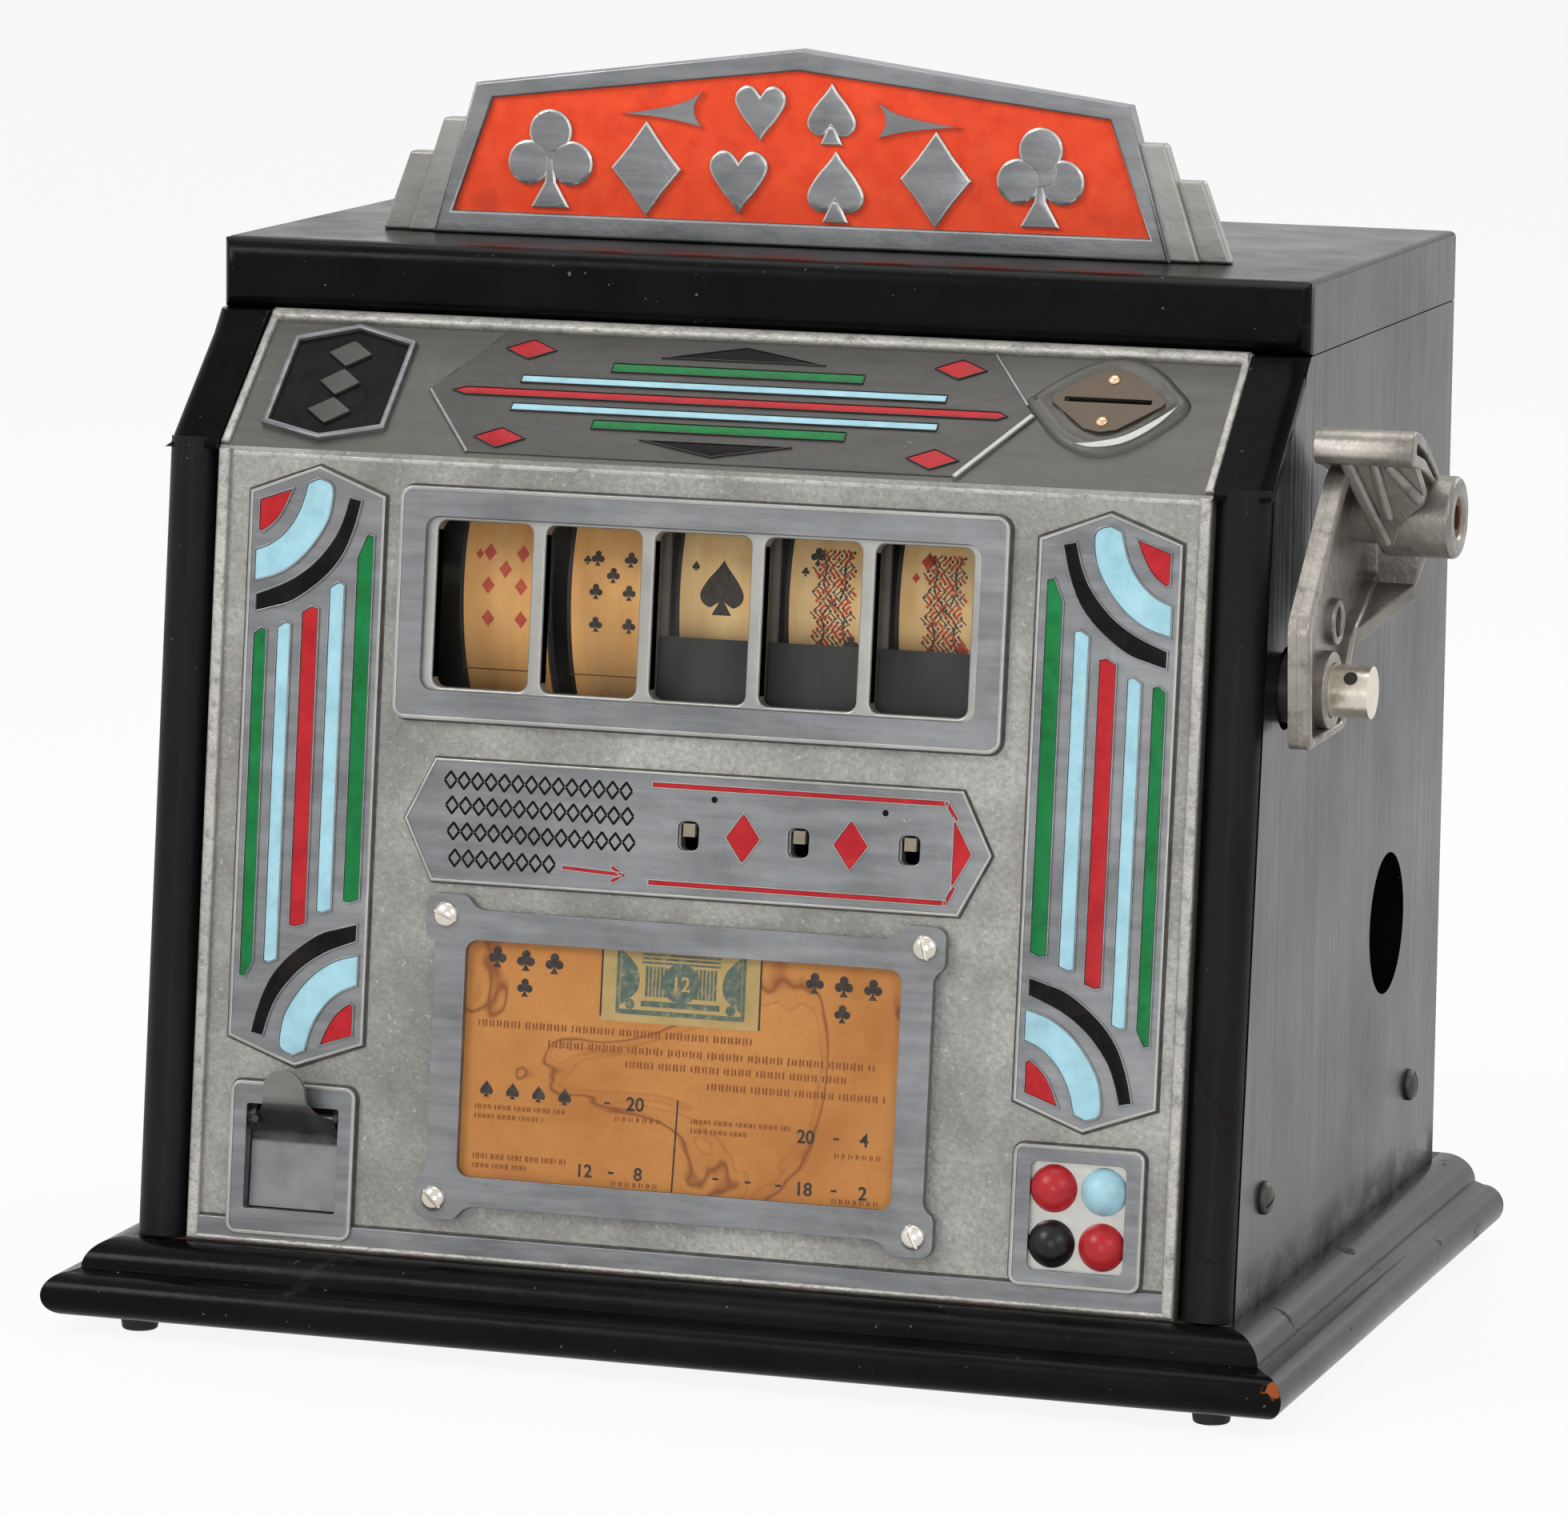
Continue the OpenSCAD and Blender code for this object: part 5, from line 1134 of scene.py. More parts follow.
figures = bmesh.new()
for text, x, s, height in (("20", -10.4, 39.6, 3.2), ("12", -22.2, 23.4, 3.0), ("8", -9.0, 23.5, 3.0),
                           ("20", 31.0, 35.2, 3.1), ("4", 45.0, 35.4, 3.1), ("18", 31.0, 23.2, 3.1),
                           ("2", 45.2, 23.2, 3.1)):
    join(figures, number(text, x, s, height))
finish_piece("card_numbers", figures, on_lower, inks["black_ink"])
finish_piece("ticket_seal", number("12", ticket_x, 68.0, 3.4, 0.52), on_lower, ticket_paper)
rules = [bar(-0.7, 19.0, -0.1, 41.2, 0.4)]
for x, s in ((-17.2, 39.3), (-15.6, 23.3), (38.3, 35.1), (38.3, 23.2), (9.8, 23.8),
             (17.6, 23.6), (24.9, 23.4)):
    rules.append(bar(x - 0.7, s, x + 0.7, s, 0.5))
ticks = []
for x, s, count, high, gap in (
        (-49.3, 55.8, 76, 1.9, 13), (-32.0, 51.9, 90, 1.9, 11), (-13.0, 48.6, 61, 1.9, 9),
        (7.0, 44.8, 49, 1.9, 12), (-49.3, 36.4, 37, 1.3, 8), (-49.3, 34.2, 28, 1.3, 9),
        (-49.3, 24.9, 38, 1.3, 7), (-49.3, 22.7, 22, 1.3, 8), (3.4, 36.6, 40, 1.3, 9),
        (3.4, 34.4, 24, 1.3, 8), (-15.0, 35.9, 21, 1.2, 3), (-15.2, 20.9, 21, 1.2, 3),
        (38.2, 31.3, 21, 1.2, 3), (38.0, 20.9, 21, 1.2, 3)):
    for k in range(count):
        if k % gap != gap - 1:
            at = x + 0.88 * k * high / 1.9 + 0.12 * (k % 2)
            tall = high * (1.0, 0.72, 0.86)[(k * k + count) % 3]
            ticks.append(bar(at, s - tall / 2, at + 0.03, s + tall / 2, 0.26 * high ** 0.7))
film("card_rules", rules, 0.43, inks["black_ink"])
film("card_ticks", ticks, 0.43, inks["brown_ink"])
marks = []
for x, s, w in ((-45.5, 71.3, 2.2), (-38.5, 70.9, 2.2), (-31.5, 70.6, 2.2),
                (-38.5, 64.6, 1.9), (31.5, 70.4, 2.2), (38.5, 70.1, 2.2),
                (45.5, 69.8, 2.2), (38.4, 63.8, 1.9)):
    marks.append(suit("spade" if round(x) % 2 else "club", x, s, w, 2))
for x, s in ((-46.8, 40.6), (-40.4, 40.4), (-34.0, 40.2), (-27.6, 40.0)):
    marks.append(suit("spade", x, s, 1.6, 2))
film("card_suit_marks", marks, 0.43, inks["black_ink"])

# Card frame: a cast aluminium frame with an ear at each corner, brushed on its face
# and held by four slotted round-head screws of nickelled steel.
quarter = ([(60.2, 0)] + [(60.2, 25.2), (60.5, 26.3), (61.3, 27.3), (62.2, 28.0), (62.8, 29.2)]
           + arc(60.0, 35.0, 2.8, 0, 90, 6)
           + [(53.6, 37.8), (52.4, 37.2), (51.6, 36.2), (50.6, 35.2), (49.3, 34.6), (48.0, 34.4)])
outline = (quarter + [(-x, y) for x, y in quarter[:0:-1]] + [(-x, -y) for x, y in quarter]
           + [(x, -y) for x, y in quarter[:0:-1]])
outline = [(x, card_s + y) for x, y in outline]
frame_mesh = raised(outline, [box_outline(0, card_s, 2 * card_hw, 2 * card_hh, 3.0, 5)], 0.42, 2.4, 0.8)
cast("award_frame", frame_mesh, on_lower, raised_metal, stands_for=("card_frame",))


def screw_head(x, y, z, r, high, slot_turn, slot_w=0.7):
    # a domed head with a straight slot, standing on z
    dome = bmesh.new()
    bmesh.ops.create_uvsphere(dome, u_segments=48, v_segments=24, radius=r)
    cut(dome, (0, 0, 0), (0, 0, 1), clear_inner=True)
    bmesh.ops.scale(dome, vec=(1, 1, high / r), verts=dome.verts[:])
    for at in (-slot_w / 2, -slot_w / 2 + 0.06, slot_w / 2 - 0.06, slot_w / 2):
        cut(dome, (at, 0, 0), (1, 0, 0))
    for corner in dome.verts:
        if abs(corner.co.x) < slot_w / 2 - 0.03:
            corner.co.z = min(corner.co.z, high * 0.45)
    skirt = plate(circle(0, 0, r, 48), (), -0.4, 0.0)
    join(dome, skirt)
    move(dome, Matrix.Translation((x, y, z)) @ Matrix.Rotation(slot_turn, 4, "Z"))
    return dome


nickel = plain_metal("nickelled_screw", "#c4bdb2", "#e6e1d8", 0.2, 0.85, "#7d5335", 0.7)
screws = bmesh.new()
for x, s, slot_turn in ((-57.9, 80.3, 1.2), (57.9, 80.3, 0.3), (-58.1, 14.3, 0.8), (58.2, 14.3, 0.5)):
    join(screws, screw_head(x, s, 2.4, 3.1, 1.9, slot_turn))
finish_piece("award_frame_screws", screws, on_lower, nickel,
             stands_for=("card_frame_screws",), smooth=50)

# Coin entry: a pressed brass plate gone brown, in the dish of a raised boss, with the
# slot across it and a copper rivet above and below.
boss_line = curve_through([(69.4, 26.0), (76.0, 33.6), (83.5, 39.4), (90.5, 41.2),
                           (98.0, 38.8), (104.6, 32.6), (108.8, 26.2), (104.0, 18.4), (96.4, 11.8),
                           (88.8, 9.8), (80.6, 13.2), (74.4, 19.6), (69.4, 26.0)], 5)[:-1]


def terraces(outline, steps):
    # closed walls and ledges: each step lies so far inside the outline, at such a height
    bm = bmesh.new()
    loops = [[bm.verts.new((x, y, high)) for x, y in grow(outline, -inset)] for inset, high in steps]
    for one, other in zip(loops, loops[1:]):
        for k in range(len(one)):
            after = (k + 1) % len(one)
            bm.faces.new((one[k], one[after], other[after], other[k]))
    bmesh.ops.recalc_face_normals(bm, faces=bm.faces[:])
    return bm


boss = terraces(boss_line, ((0.0, -0.2), (0.5, 0.7), (1.2, 1.3), (2.0, 1.6),
                            (2.8, 1.6), (3.6, 1.3), (4.6, 0.9), (5.4, 0.75),
                            (5.8, 0.95), (6.2, 0.8), (7.4, 0.7)))
cast("coin_boss", boss, on_slope, slope_metal)
crescent_out = curve_through([(84.4, 12.4), (89.2, 11.5), (96.2, 13.4), (102.6, 19.4), (106.4, 26.0)], 5)
crescent_in = curve_through([(106.4, 26.0), (101.6, 20.7), (95.4, 15.4), (89.2, 13.2), (84.4, 12.4)], 5)
crescent = raised(crescent_out + crescent_in[1:-1], (), 1.0, 1.85, 0.3)
cast("coin_boss_crescent", crescent, on_slope, rim_metal)
brown_brass = plain_metal("brown_brass", "#463c32", "#635444", 0.45, 0.5, "#8a5230", 0.8)
coin_outline = ([(coin_x - 12.8, coin_t + 1.2), (coin_x - 3.8, coin_t + 9.0)]
                + arc(coin_x, coin_t + 5.6, 4.2, 115, 65, 5)
                + [(coin_x + 3.8, coin_t + 9.0), (coin_x + 12.8, coin_t + 1.2), (coin_x + 13.4, coin_t),
                   (coin_x + 12.8, coin_t - 1.2), (coin_x + 3.8, coin_t - 9.0)]
                + arc(coin_x, coin_t - 5.6, 4.2, -65, -115, 5)
                + [(coin_x - 3.8, coin_t - 9.0), (coin_x - 12.8, coin_t - 1.2), (coin_x - 13.4, coin_t)])
coin_entry = raised(coin_outline, [box_outline(coin_x, coin_t, 20.6, 1.5, 0.3, 2)], 0.6, 1.5, 0.35, 2)
finish_piece("coin_entry", coin_entry, on_slope, brown_brass, stands_for=("coin_plate",))
copper = plain_metal("copper_rivet", "#c98f66", "#efd0b4", 0.25, 0.8, "#8a4a2a", 0.4)
rivets = bmesh.new()
for way in (-1, 1):
    head = bmesh.new()
    bmesh.ops.create_uvsphere(head, u_segments=28, v_segments=16, radius=1.5)
    bmesh.ops.scale(head, vec=(1, 1, 0.6), verts=head.verts[:])
    bmesh.ops.translate(head, vec=(coin_x, coin_t + way * 6.6, 1.45), verts=head.verts[:])
    join(rivets, head)
finish_piece("coin_rivets", rivets, on_slope, copper, stands_for=("coin_plate_rivets",))

# Marquee: an aluminium casting that stands on the top board, stepped at both ends. Its
# sunk field is enamelled orange-red, with raised card suits and two tapered darts.
top_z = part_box("top_board")[1].z
marquee_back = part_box("marquee")[1].y
marquee_hw, marquee_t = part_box("marquee")[1].x * 1000, (marquee_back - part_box("marquee")[0].y) * 1000
marquee_h = (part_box("marquee")[1].z - top_z) * 1000
on_marquee = Matrix.Translation((0, marquee_back, top_z)) @ Matrix.Rotation(math.pi / 2, 4, "X") @ MM
step_metal = rubbed_metal("step_metal", "#85837e", "#a09e98", 0.4)
body = bmesh.new()
main_line = [(-marquee_hw + 14, 0.1), (marquee_hw - 14, 0.1),
             (marquee_hw - 24.5, marquee_h * 0.775), (0, marquee_h),
             (-marquee_hw + 24.5, marquee_h * 0.775)]
for foot_in, foot, head_in, tall, rear_face, thick in ((0, 0, 7, 0.41, 0.0, 0.55),
                                                       (7, 0.05, 16, 0.59, 0.3, 0.78)):
    step = plate([(foot_in - marquee_hw, foot), (marquee_hw - foot_in, foot),
                  (marquee_hw - head_in, marquee_h * tall), (head_in - marquee_hw, marquee_h * tall)], (),
                 rear_face, marquee_t * thick)
    soften(step, 0.8, 3)
    join(body, step)
cast("marquee_steps", body, on_marquee, step_metal, stands_for=("marquee",))
field_line = [(-marquee_hw + 19, 5.5), (marquee_hw - 19, 5.5), (marquee_hw - 29, marquee_h * 0.7),
              (0, marquee_h * 0.89), (-marquee_hw + 29, marquee_h * 0.7)]
body = plate(main_line, (), 0.6, marquee_t - 1.6)
soften(body, 0.7, 3, lambda p: p.z < 1)
border = raised(main_line, [field_line], marquee_t - 1.7, marquee_t, 0.75)
cast("marquee_border", join(body, border), on_marquee, raised_metal)
finish_piece("marquee_field", plate(grow(field_line, 0.3), (), marquee_t - 1.75, marquee_t - 1.4),
             on_marquee, enamels["orange_red"])
shapes = []
stems = {"club": [(0.45, -1.12), (0.13, -0.55), (0.1, 0), (-0.1, 0), (-0.13, -0.55), (-0.45, -1.12)],
         "spade": [(0.45, -1.2), (0.13, -0.5), (-0.13, -0.5), (-0.45, -1.2)]}
for kind, x, z, w in (("club", -61.5, 18.9, 10.6), ("diamond", -37.5, 17.1, 8.7),
                      ("heart", -14.5, 15.0, 7.2), ("spade", 9.5, 14.6, 7.0), ("diamond", 34.0, 17.1, 8.7),
                      ("club", 59.5, 18.9, 10.6), ("heart", -9.3, 31.4, 6.3), ("spade", 8.3, 31.6, 6.0)):
    if kind in stems:
        shapes.append([(x + a * w, z + b * w) for a, b in stems[kind]])
    if kind == "club":
        shapes += [circle(x + a * w, z + b * w, r * w, 30) for a, b, r in (
            (0.5, -0.12, 0.5), (-0.5, -0.12, 0.5), (0, 0.58, 0.5), (0, 0.14, 0.42))]
    elif kind == "spade":
        shapes.append([(a, 2 * z + 0.12 * w - b) for a, b in suit("heart", x, z, w, 3)])
    else:
        shapes.append(suit(kind, x, z, w, 3))
dart = curve_through([(0, 0), (7, 0.6), (15, 1.9), (20.4, 4.3)], 3) + curve_through(
    [(20.4, 4.3), (18.6, 1.6), (18.5, -1.0), (20.2, -4.0)], 3)[1:] + curve_through(
    [(20.2, -4.0), (14.0, -2.2), (7, -0.9), (0, 0)], 3)[1:-1]
shapes += [[(-44 + x, 30.0 + z + 0.07 * x) for x, z in dart],
           [(40 - x, 29.6 + z + 0.04 * x) for x, z in dart]]
suits_and_darts = bmesh.new()
for order, points in enumerate(shapes):
    rim = 0.5 if order < len(shapes) - 2 else 0.12
    one = plate(points, (), marquee_t - 1.6, marquee_t - 0.4 - 0.008 * (order % 6))
    bmesh.ops.inset_region(one, faces=[f for f in one.faces if f.normal.z > 0.9], thickness=rim, depth=0.35,
                           use_boundary=True, use_even_offset=True)
    join(suits_and_darts, one)
marks = cast("marquee_shapes", suits_and_darts, on_marquee, raised_metal)
# the side faces of the suits and darts take the brighter finish as a painted highlight along their edges
marks.data.materials.append(bright_line)
for patch in marks.data.polygons:
    patch.material_index = 0 if patch.normal.y < -0.985 else 1

# Gum cup and its flap: bent steel sheet. The flap hangs on a pin behind the opening, its
# lower half closes the cup and its upper half leans out to a round thumb tab.
cup_sheet = plain_metal("cup_sheet", "#77767a", "#9b9a9a", 0.45, 0.6)
dress("gum_cup", cup_sheet)
dress("flap_pin", steel)
flap_sheet_painted_shade, tree, shader, where = new_finish("flap_sheet_painted_shade", metallic=0.5, roughness=0.42)
cloud = noise(tree, where, 95, 5, 0.65)
# colour by height with painted shade: the lower plate light, a dark band of painted shade under the leaning
# tab, the tab above mid grey
height = between(tree, parts_of(tree, where)[2], 0.0438, 0.0588)
base = ramp(tree, height, (0.0, "#868587"), (0.08, "#82817f"), (0.13, "#2c2b29"),
            (0.66, "#3b3a37"), (0.82, "#6a6966"), (0.95, "#7c7a75"))
rust_spot = ramp(tree, noise(tree, where, 210, 5, 0.7), (0.5, 0.0), (0.62, 1.0))
shoulder = sums(tree, "GREATER_THAN", parts_of(tree, where)[0], -0.0885)
upper = sums(tree, "GREATER_THAN", parts_of(tree, where)[2], 0.0525)
rusty = times(tree, times(tree, shoulder, upper), rust_spot)
base = mixed(tree, times(tree, rusty, 0.8), base, "#87583c")
paint(tree, shader, mixed(tree, ramp(tree, cloud, (0.42, 0.0), (0.72, 0.55)), base, "#605f62"),
      ramp(tree, cloud, (0.3, 0.34), (0.75, 0.5)))
bumps(tree, shader, (cloud, 0.00018))
fold, crest, tip = cup_high - 7, cup_high + 1, cup_high + 9
half_flap, tab_r = cup_w / 2 - 0.6, 5.2
shoulder_s = cup_high - 2.6
outline = [(-half_flap, cup_low + 0.4), (half_flap, cup_low + 0.4), (half_flap, shoulder_s)]
outline += arc(half_flap, shoulder_s + half_flap - tab_r, half_flap - tab_r, 270, 180, 8)
outline += arc(0, tip - tab_r, tab_r, 0, 180, 20)
outline += arc(-half_flap, shoulder_s + half_flap - tab_r, half_flap - tab_r, 360, 270, 8)
flap = plate(outline, (), -1.2, 0)
for k in range(34):
    cut(flap, (0, cup_low + 0.9 + k, 0), (0, 1, 0))
bent = curve_through([(cup_low, -1.0), (fold - 3, -1.4), (fold, -1.5), (fold + 2.4, 0.6),
                      (crest - 1.5, 5.2), (crest + 1, 7.2), (tip, 8.8), (tip + 3, 9.3)], 6)
for corner in flap.verts:
    s = corner.co.y
    for (s0, n0), (s1, n1) in zip(bent, bent[1:]):
        if s0 <= s <= s1 and s1 > s0:
            corner.co.z += n0 + (n1 - n0) * (s - s0) / (s1 - s0)
            break
    corner.co.x += cup_x
soften(flap, 0.3, 2, lambda p: True, 1.0)
for sign in (-1, 1):
    ear = plate([(fold - 5, -1.5), (fold - 5, -2.8), (shoulder_s - 1, -4), (shoulder_s + 2.2, -2.9),
                 (shoulder_s + 2.4, -1.0), (fold + 3, 1.5), (fold, -1.5)], (), 0, 1.2)
    move(ear, Matrix.Translation((cup_x + (half_flap - 1.2 if sign > 0 else -half_flap), 0, 0)) @ upright)
    join(flap, ear)
finish_piece("gum_flap", flap, on_lower, flap_sheet_painted_shade, "cup_flap", ("cup_flap",))
# a dark steel plug set in the flap stands for a small hole: its dark top is painted shade
pit = plate(circle(cup_x - 8.3, shoulder_s - 0.6, 0.9, 18), (), 1.6, 3.9)
finish_piece("gum_flap_hole", pit, on_lower, dark_steel, "cup_flap")

# Operating handle: a flanged aluminium arm keyed on its steel shaft, with a painted highlight along
# the front of its thumb lip and a boss whose rusty bore has lost its grip.
handle_metal, tree, shader, where = new_finish("handle_metal", metallic=0.6, roughness=0.36)
cloud = noise(tree, where, 42, 5, 0.62)
grime = noise(tree, where, 120, 6, 0.72)
fine = noise(tree, where, 650, 3, 0.6)
base = ramp(tree, cloud, (0.3, "#78746c"), (0.55, "#918c84"), (0.8, "#aaa49b"))
base = mixed(tree, ramp(tree, grime, (0.52, 0.0), (0.7, 0.7)), base, "#4f473f")
x_y_z = parts_of(tree, where)
lip_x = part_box("handle_arm")[0].x
# painted highlight: a pale band along the lower front of the thumb lip, on its left part
front_nose = between(tree, x_y_z[1], (shaft_y + 4.4) * 0.001, (shaft_y + 4.0) * 0.001)
above = between(tree, x_y_z[2], (shaft_z + 51) * 0.001, (shaft_z + 52.5) * 0.001)
left_part = between(tree, x_y_z[0], lip_x + 0.021, lip_x + 0.009)
lip_highlight = times(tree, times(tree, front_nose, above), left_part)
base = mixed(tree, times(tree, lip_highlight, 0.65), base, "#e6ddd3")
# painted shade: the casting darker behind and below the boss, where it lies in shadow
behind = between(tree, x_y_z[1], (shaft_y + 27) * 0.001, (shaft_y + 41) * 0.001)
below = between(tree, x_y_z[2], (shaft_z + 32) * 0.001, (shaft_z + 25) * 0.001)
base = mixed(tree, times(tree, times(tree, behind, below), 0.4), base, "#3d352e")
paint(tree, shader, base, ramp(tree, grime, (0.35, 0.26), (0.75, 0.52)))
bumps(tree, shader, (cloud, 0.0005), (grime, 0.0002), (fine, 0.00006))
rusty_iron = plain_metal("rusty_iron", "#3c261c", "#6a3d29", 0.6, 0.3, "#8a5434", 0.8)
lip = lip_x * 1000
arm_x = lip + 2.0


def rounded(points, r, steps=4):
    # an outline with each corner turned into a short curve
    made = []
    for a, b, c in zip(points[-1:] + points[:-1], points, points[1:] + points[:1]):
        a, b, c = Vector(a), Vector(b), Vector(c)
        near_a = b + (a - b).normalized() * min(r, (a - b).length * 0.45)
        near_c = b + (c - b).normalized() * min(r, (c - b).length * 0.45)
        made += [tuple(near_a.lerp(b, k / steps).lerp(b.lerp(near_c, k / steps), k / steps))
                 for k in range(steps + 1)]
    return made


on_arm = MM @ Matrix.Translation((0, shaft_y, shaft_z)) @ upright
arm_line = rounded([(-21.5, -11), (12.5, -10.5), (14.5, 1), (20, 9), (44, 19), (44, 41),
                    (38, 47), (24, 53), (8, 48), (-24, 18)], 3.0)
arm_sunk = rounded([(-18.5, -8.5), (10.5, -8.5), (12, 2), (18.5, 11.4), (41, 20.9),
                    (41, 39.5), (36, 44.5), (24, 49.5), (9, 44.5), (-20.5, 17)], 2.5)
eye_y, eye_z = 8.5, 14.5
arm = plate(arm_line, [circle(0, 0, 6.1, 36), circle(eye_y, eye_z, 3.5, 24)], arm_x, arm_x + 2)
flange = raised(arm_line, [arm_sunk], arm_x + 1.9, arm_x + 5, 0.9, least=0.7)
join(arm, flange)
for y, z, outer, bore, high in ((0, 0, 9, 6.1, 5), (eye_y, eye_z, 5.4, 3.5, 4)):
    hub = raised(circle(y, z, outer, 36), [circle(y, z, bore, 36)], arm_x + 1, arm_x + high, 0.7, least=0.8)
    join(arm, hub)
boss_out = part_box("handle_arm")[1].x * 1000
boss_y, boss_z = 31, 36.8
boss_body = plate(circle(boss_y, boss_z, 6.8, 60), (), arm_x + 1, boss_out - 16)
boss_end = plate(circle(boss_y, boss_z, 9.5, 60), [circle(boss_y, boss_z, 4.6, 36)],
                 boss_out - 17.5, boss_out)
soften(boss_end, 1.3, 4, least=0.8)
join(join(arm, boss_body), boss_end)
deep_flange = plate([(1, arm_x + 1), (26, arm_x + 1), (26, arm_x + 13), (23, arm_x + 13.6),
                     (1, arm_x + 4.6)], (), -1.6, 2.4)
soften(deep_flange, 0.7, 3, least=0.7)
move(deep_flange, Matrix(((0.923, 0, 0.385, 20), (0.385, 0, -0.923, 9), (0, 1, 0, 0), (0, 0, 0, 1))))
join(arm, deep_flange)
under_boss = plate([(arm_x + 1, 17), (arm_x + 13, 18), (arm_x + 17, 30), (arm_x + 1, 30)], (), 0, 2.4)
soften(under_boss, 0.7, 3, least=0.7)
move(under_boss, Matrix(((0, 0, -1, 43.6), (0, 1, 0, 0), (1, 0, 0, 0), (0, 0, 0, 1))))
join(arm, under_boss)
wedge_line = (arc(8.0, 54.6, 4.2, 70, 245, 14)
              + curve_through([(9.0, 50.3), (16, 48.6), (24, 45.6), (29, 42.6)], 4)
              + curve_through([(33, 45.4), (29, 48.4), (20, 54.4), (12.5, 58.0)], 4))
wedge = plate(wedge_line, (), lip, boss_out - 8.4)
soften(wedge, 3.0, 6, lambda p: p.z < lip + 0.1, 0.6)
wall_hole = rounded([(9, 56.2), (8, 53.8), (17, 51.6), (27, 46.0), (29.2, 45.8), (19, 52.2)], 1.0, 3)
end_wall = raised(wedge_line, [wall_hole], boss_out - 8.5, boss_out - 5, 0.6, least=0.8)
join(join(arm, wedge), end_wall)
gusset_place = Matrix(((0, 0.525, 0.851, 8), (0, -0.851, 0.525, 54.5), (1, 0, 0, 0), (0, 0, 0, 1)))
gusset = plate(rounded([(lip + 2.5, -1), (boss_out - 5.5, -1), (boss_out - 5.5, 4),
                        (boss_out - 4, 14), (boss_out - 11, 20), (boss_out - 13, 27.5), (boss_out - 16, 27),
                        (lip + 9, 8)], 2.0), (), -1.4, 1.4)
soften(gusset, 0.9, 3, least=0.7)
for head_x, head_v, foot_x, foot_v, thick in ((lip + 6.5, 2, boss_out - 14.5, 26.5, 3.4),
                                              (lip + 13, 2, boss_out - 13, 19, 2.6),
                                              (lip + 16, 3, boss_out - 5, 13.5, 2.8)):
    rib = plate(bar(head_x, head_v, foot_x, foot_v, thick), (), -3.0, -0.5)
    soften(rib, 1.1, 4, least=0.7)
    join(gusset, rib)
move(gusset, gusset_place)
join(arm, gusset)
finish_piece("pull_arm", arm, on_arm, handle_metal, "handle", ("handle_arm",))
bore = plate(circle(boss_y, boss_z, 4.7, 36), [circle(boss_y, boss_z, 2.9, 36)],
             boss_out - 9, boss_out - 0.8)
join(bore, plate(circle(boss_y, boss_z, 4.6, 36), (), boss_out - 13.2, boss_out - 8.9))
join(bore, plate(circle(eye_y, eye_z, 3.6, 36), (), arm_x + 0.3, arm_x + 1.6))
finish_piece("pull_arm_bore", bore, on_arm, rusty_iron, "handle")
shaft_metal = plain_metal("shaft_steel", "#c6bcac", "#ebe3d4", 0.25, 0.75, "#80573a", 0.7)
dress("handle_shaft", shaft_metal)
dress("handle_bushing", dark_steel)
shaft_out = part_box("handle_shaft")[1].x * 1000
# a dark steel rod set through the shaft end stands for the cross hole: its dark ends are painted shade
cross_bore = bmesh.new()
bmesh.ops.create_cone(cross_bore, cap_ends=True, cap_tris=False, segments=28,
                      radius1=1.6, radius2=1.6, depth=12.3)
move(cross_bore, MM @ Matrix.Translation((shaft_out - 4, shaft_y, shaft_z))
     @ Matrix.Rotation(math.radians(52), 4, "X"))
finish_piece("shaft_pin_hole", cross_bore, Matrix.Identity(4), dark_steel, "handle")

# Rear door: stained plywood, hung on two brass butt hinges and closed by a cam lock of
# plated steel; softwood battens and glue blocks stand in the corners.
door_wood, tree, shader, where = new_finish("door_wood", roughness=0.5, coat=0.15, coat_rough=0.3)
grain = noise(tree, where, 34, 6, 0.62, (1, 1, 0.07), 1.2)
pores = noise(tree, where, 420, 3, 0.6, (1, 1, 0.06))
paint(tree, shader, ramp(tree, grain, (0.3, "#1d130d"), (0.5, "#2b1c12"), (0.75, "#3c281a")),
      ramp(tree, pores, (0.35, 0.65), (0.7, 0.42)))
bumps(tree, shader, (grain, 0.0003), (pores, 0.0001))
dress("rear_door", door_wood)
raw_wood, tree, shader, where = new_finish("raw_wood", roughness=0.7)
grain = noise(tree, where, 40, 6, 0.6, (1, 1, 0.08), 1.5)
paint(tree, shader, ramp(tree, grain, (0.3, "#8e6a43"), (0.55, "#a98556"), (0.8, "#c09c6c")),
      ramp(tree, grain, (0.3, 0.6), (0.7, 0.8)))
bumps(tree, shader, (grain, 0.0004))
dress("cabinet_battens", raw_wood)
hinge_brass = plain_metal("hinge_brass", "#8f7440", "#b89a5c", 0.35, 0.85, "#4e3a22", 0.6)
for node in ("hinge_leaves_fixed", "hinge_leaves_door", "lock_cam"):
    dress(node, hinge_brass)
lock_metal = plain_metal("lock_plating", "#a7a6a2", "#cfcdc7", 0.25, 0.9, "#6a4e34", 0.5)
dress("door_lock", lock_metal)
hinge_low, hinge_high = (corner * 1000 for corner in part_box("hinge_leaves_door"))
for name, node, body_name, x in (("hinge_screws_door", "hinge_leaves_door", "door", 11.0),
                                 ("hinge_screws_fixed", "hinge_leaves_fixed", "cabinet", -7.6)):
    heads = bmesh.new()
    for z in (hinge_low.z + 5, hinge_high.z - 5, hinge_low.z + 15, hinge_high.z - 15):
        for step in (-10, 10):
            head = screw_head(0, 0, 0, 1.9, 0.5, 0.6 + 0.3 * step + z, 0.45)
            at = z + (step if abs(z - hinge_low.z - 15) < 1 or abs(z - hinge_high.z + 15) < 1 else 0)
            move(head, Matrix.Translation((-119.5 + x, hinge_low.y + 1.2, at))
                 @ Matrix.Rotation(-math.pi / 2, 4, "X"))
            join(heads, head)
    finish_piece(name, heads, MM, hinge_brass, body_name)

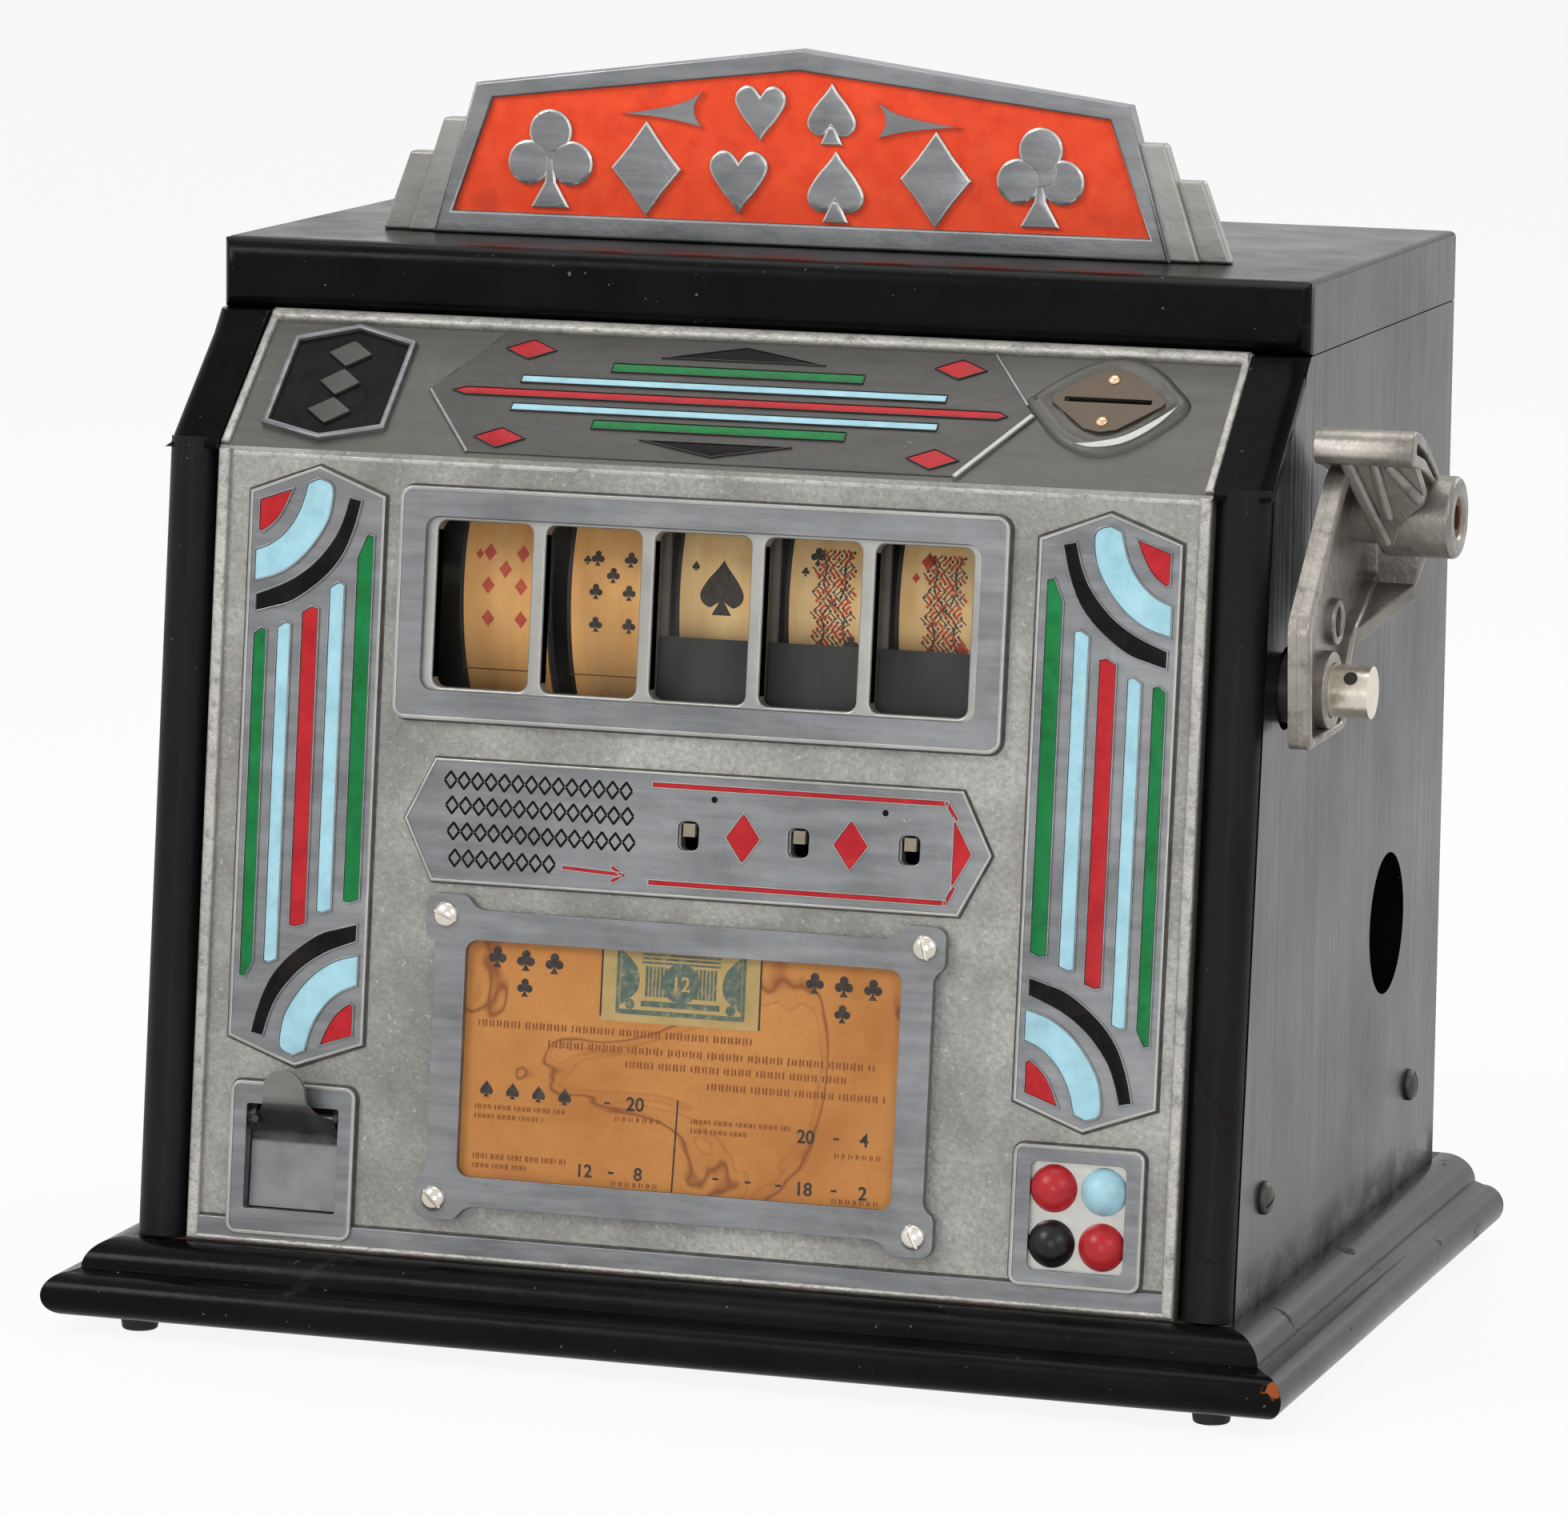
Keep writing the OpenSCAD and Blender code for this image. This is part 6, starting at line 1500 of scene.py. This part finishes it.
# Round-head screws low in the side boards, two in each: steel, once nickelled, dull and
# brown now. Their slots stand at different turns.
dull_screw = plain_metal("dull_screw", "#373431", "#57524c", 0.45, 0.5, "#4d3a2c", 0.75)
dress("wood_screws", dull_screw)
heads = bmesh.new()
screw_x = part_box("wood_screws")[1].x * 1000
for k, (y, z) in enumerate(((front + 28.5, floor_top + 24), (rear - 28, floor_top + 24))):
    for sign in (-1, 1):
        head = screw_head(0, 0, 0, 3.9, 1.9, 0.5 + 1.1 * k)
        move(head, Matrix.Translation((sign * (screw_x - 0.7), y, z))
             @ Matrix.Rotation(sign * math.pi / 2, 4, "Y"))
        join(heads, head)
finish_piece("board_screw_heads", heads, MM, dull_screw, smooth=50)

# Mechanism seen through the holes: plated and oiled steel parts, a coiled spring,
# sheet metal coin and gum parts and a moulded gum wheel.
dress("cross_shaft", steel)
for node in ("handle_crank", "rocker_arm", "drive_link"):
    dress(node, dark_steel)
for node in ("coin_chute", "cash_box", "gum_hopper"):
    dress(node, guide_sheet)
ivory, tree, shader, where = new_finish("ivory_wheel", roughness=0.45)
paint(tree, shader, ramp(tree, noise(tree, where, 90, 4, 0.6), (0.3, "#c9bd98"), (0.75, "#e0d6b8")))
bumps(tree, shader, (noise(tree, where, 300, 3), 0.0001))
dress("gum_wheel", ivory)
spring_low, spring_high = (corner * 1000 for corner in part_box("handle_spring"))
wire_r = 0.45
spring_r = (spring_high.x - spring_low.x) / 2 - wire_r
coils, around, sides = 30, 20, 8
spring = bmesh.new()
previous = None
for k in range(coils * around + 1):
    angle = 2 * math.pi * k / around
    middle = Vector((spring_r * math.cos(angle), spring_r * math.sin(angle),
                     0.6 + (spring_high.z - spring_low.z - 1.2) * k / (coils * around)))
    outward = Vector((math.cos(angle), math.sin(angle), 0))
    loop = [spring.verts.new(middle + outward * wire_r * math.cos(2 * math.pi * j / sides)
                             + Vector((0, 0,
                                       wire_r * math.sin(2 * math.pi * j / sides)))) for j in range(sides)]
    if previous:
        for j in range(sides):
            spring.faces.new((previous[j], previous[(j + 1) % sides], loop[(j + 1) % sides], loop[j]))
    else:
        spring.faces.new(loop[::-1])
    previous = loop
spring.faces.new(previous)
bmesh.ops.recalc_face_normals(spring, faces=spring.faces[:])
finish_piece("return_spring", spring, MM @ Matrix.Translation((
    (spring_low.x + spring_high.x) / 2, (spring_low.y + spring_high.y) / 2, spring_low.z)), dark_steel,
    stands_for=("handle_spring",), smooth=80)
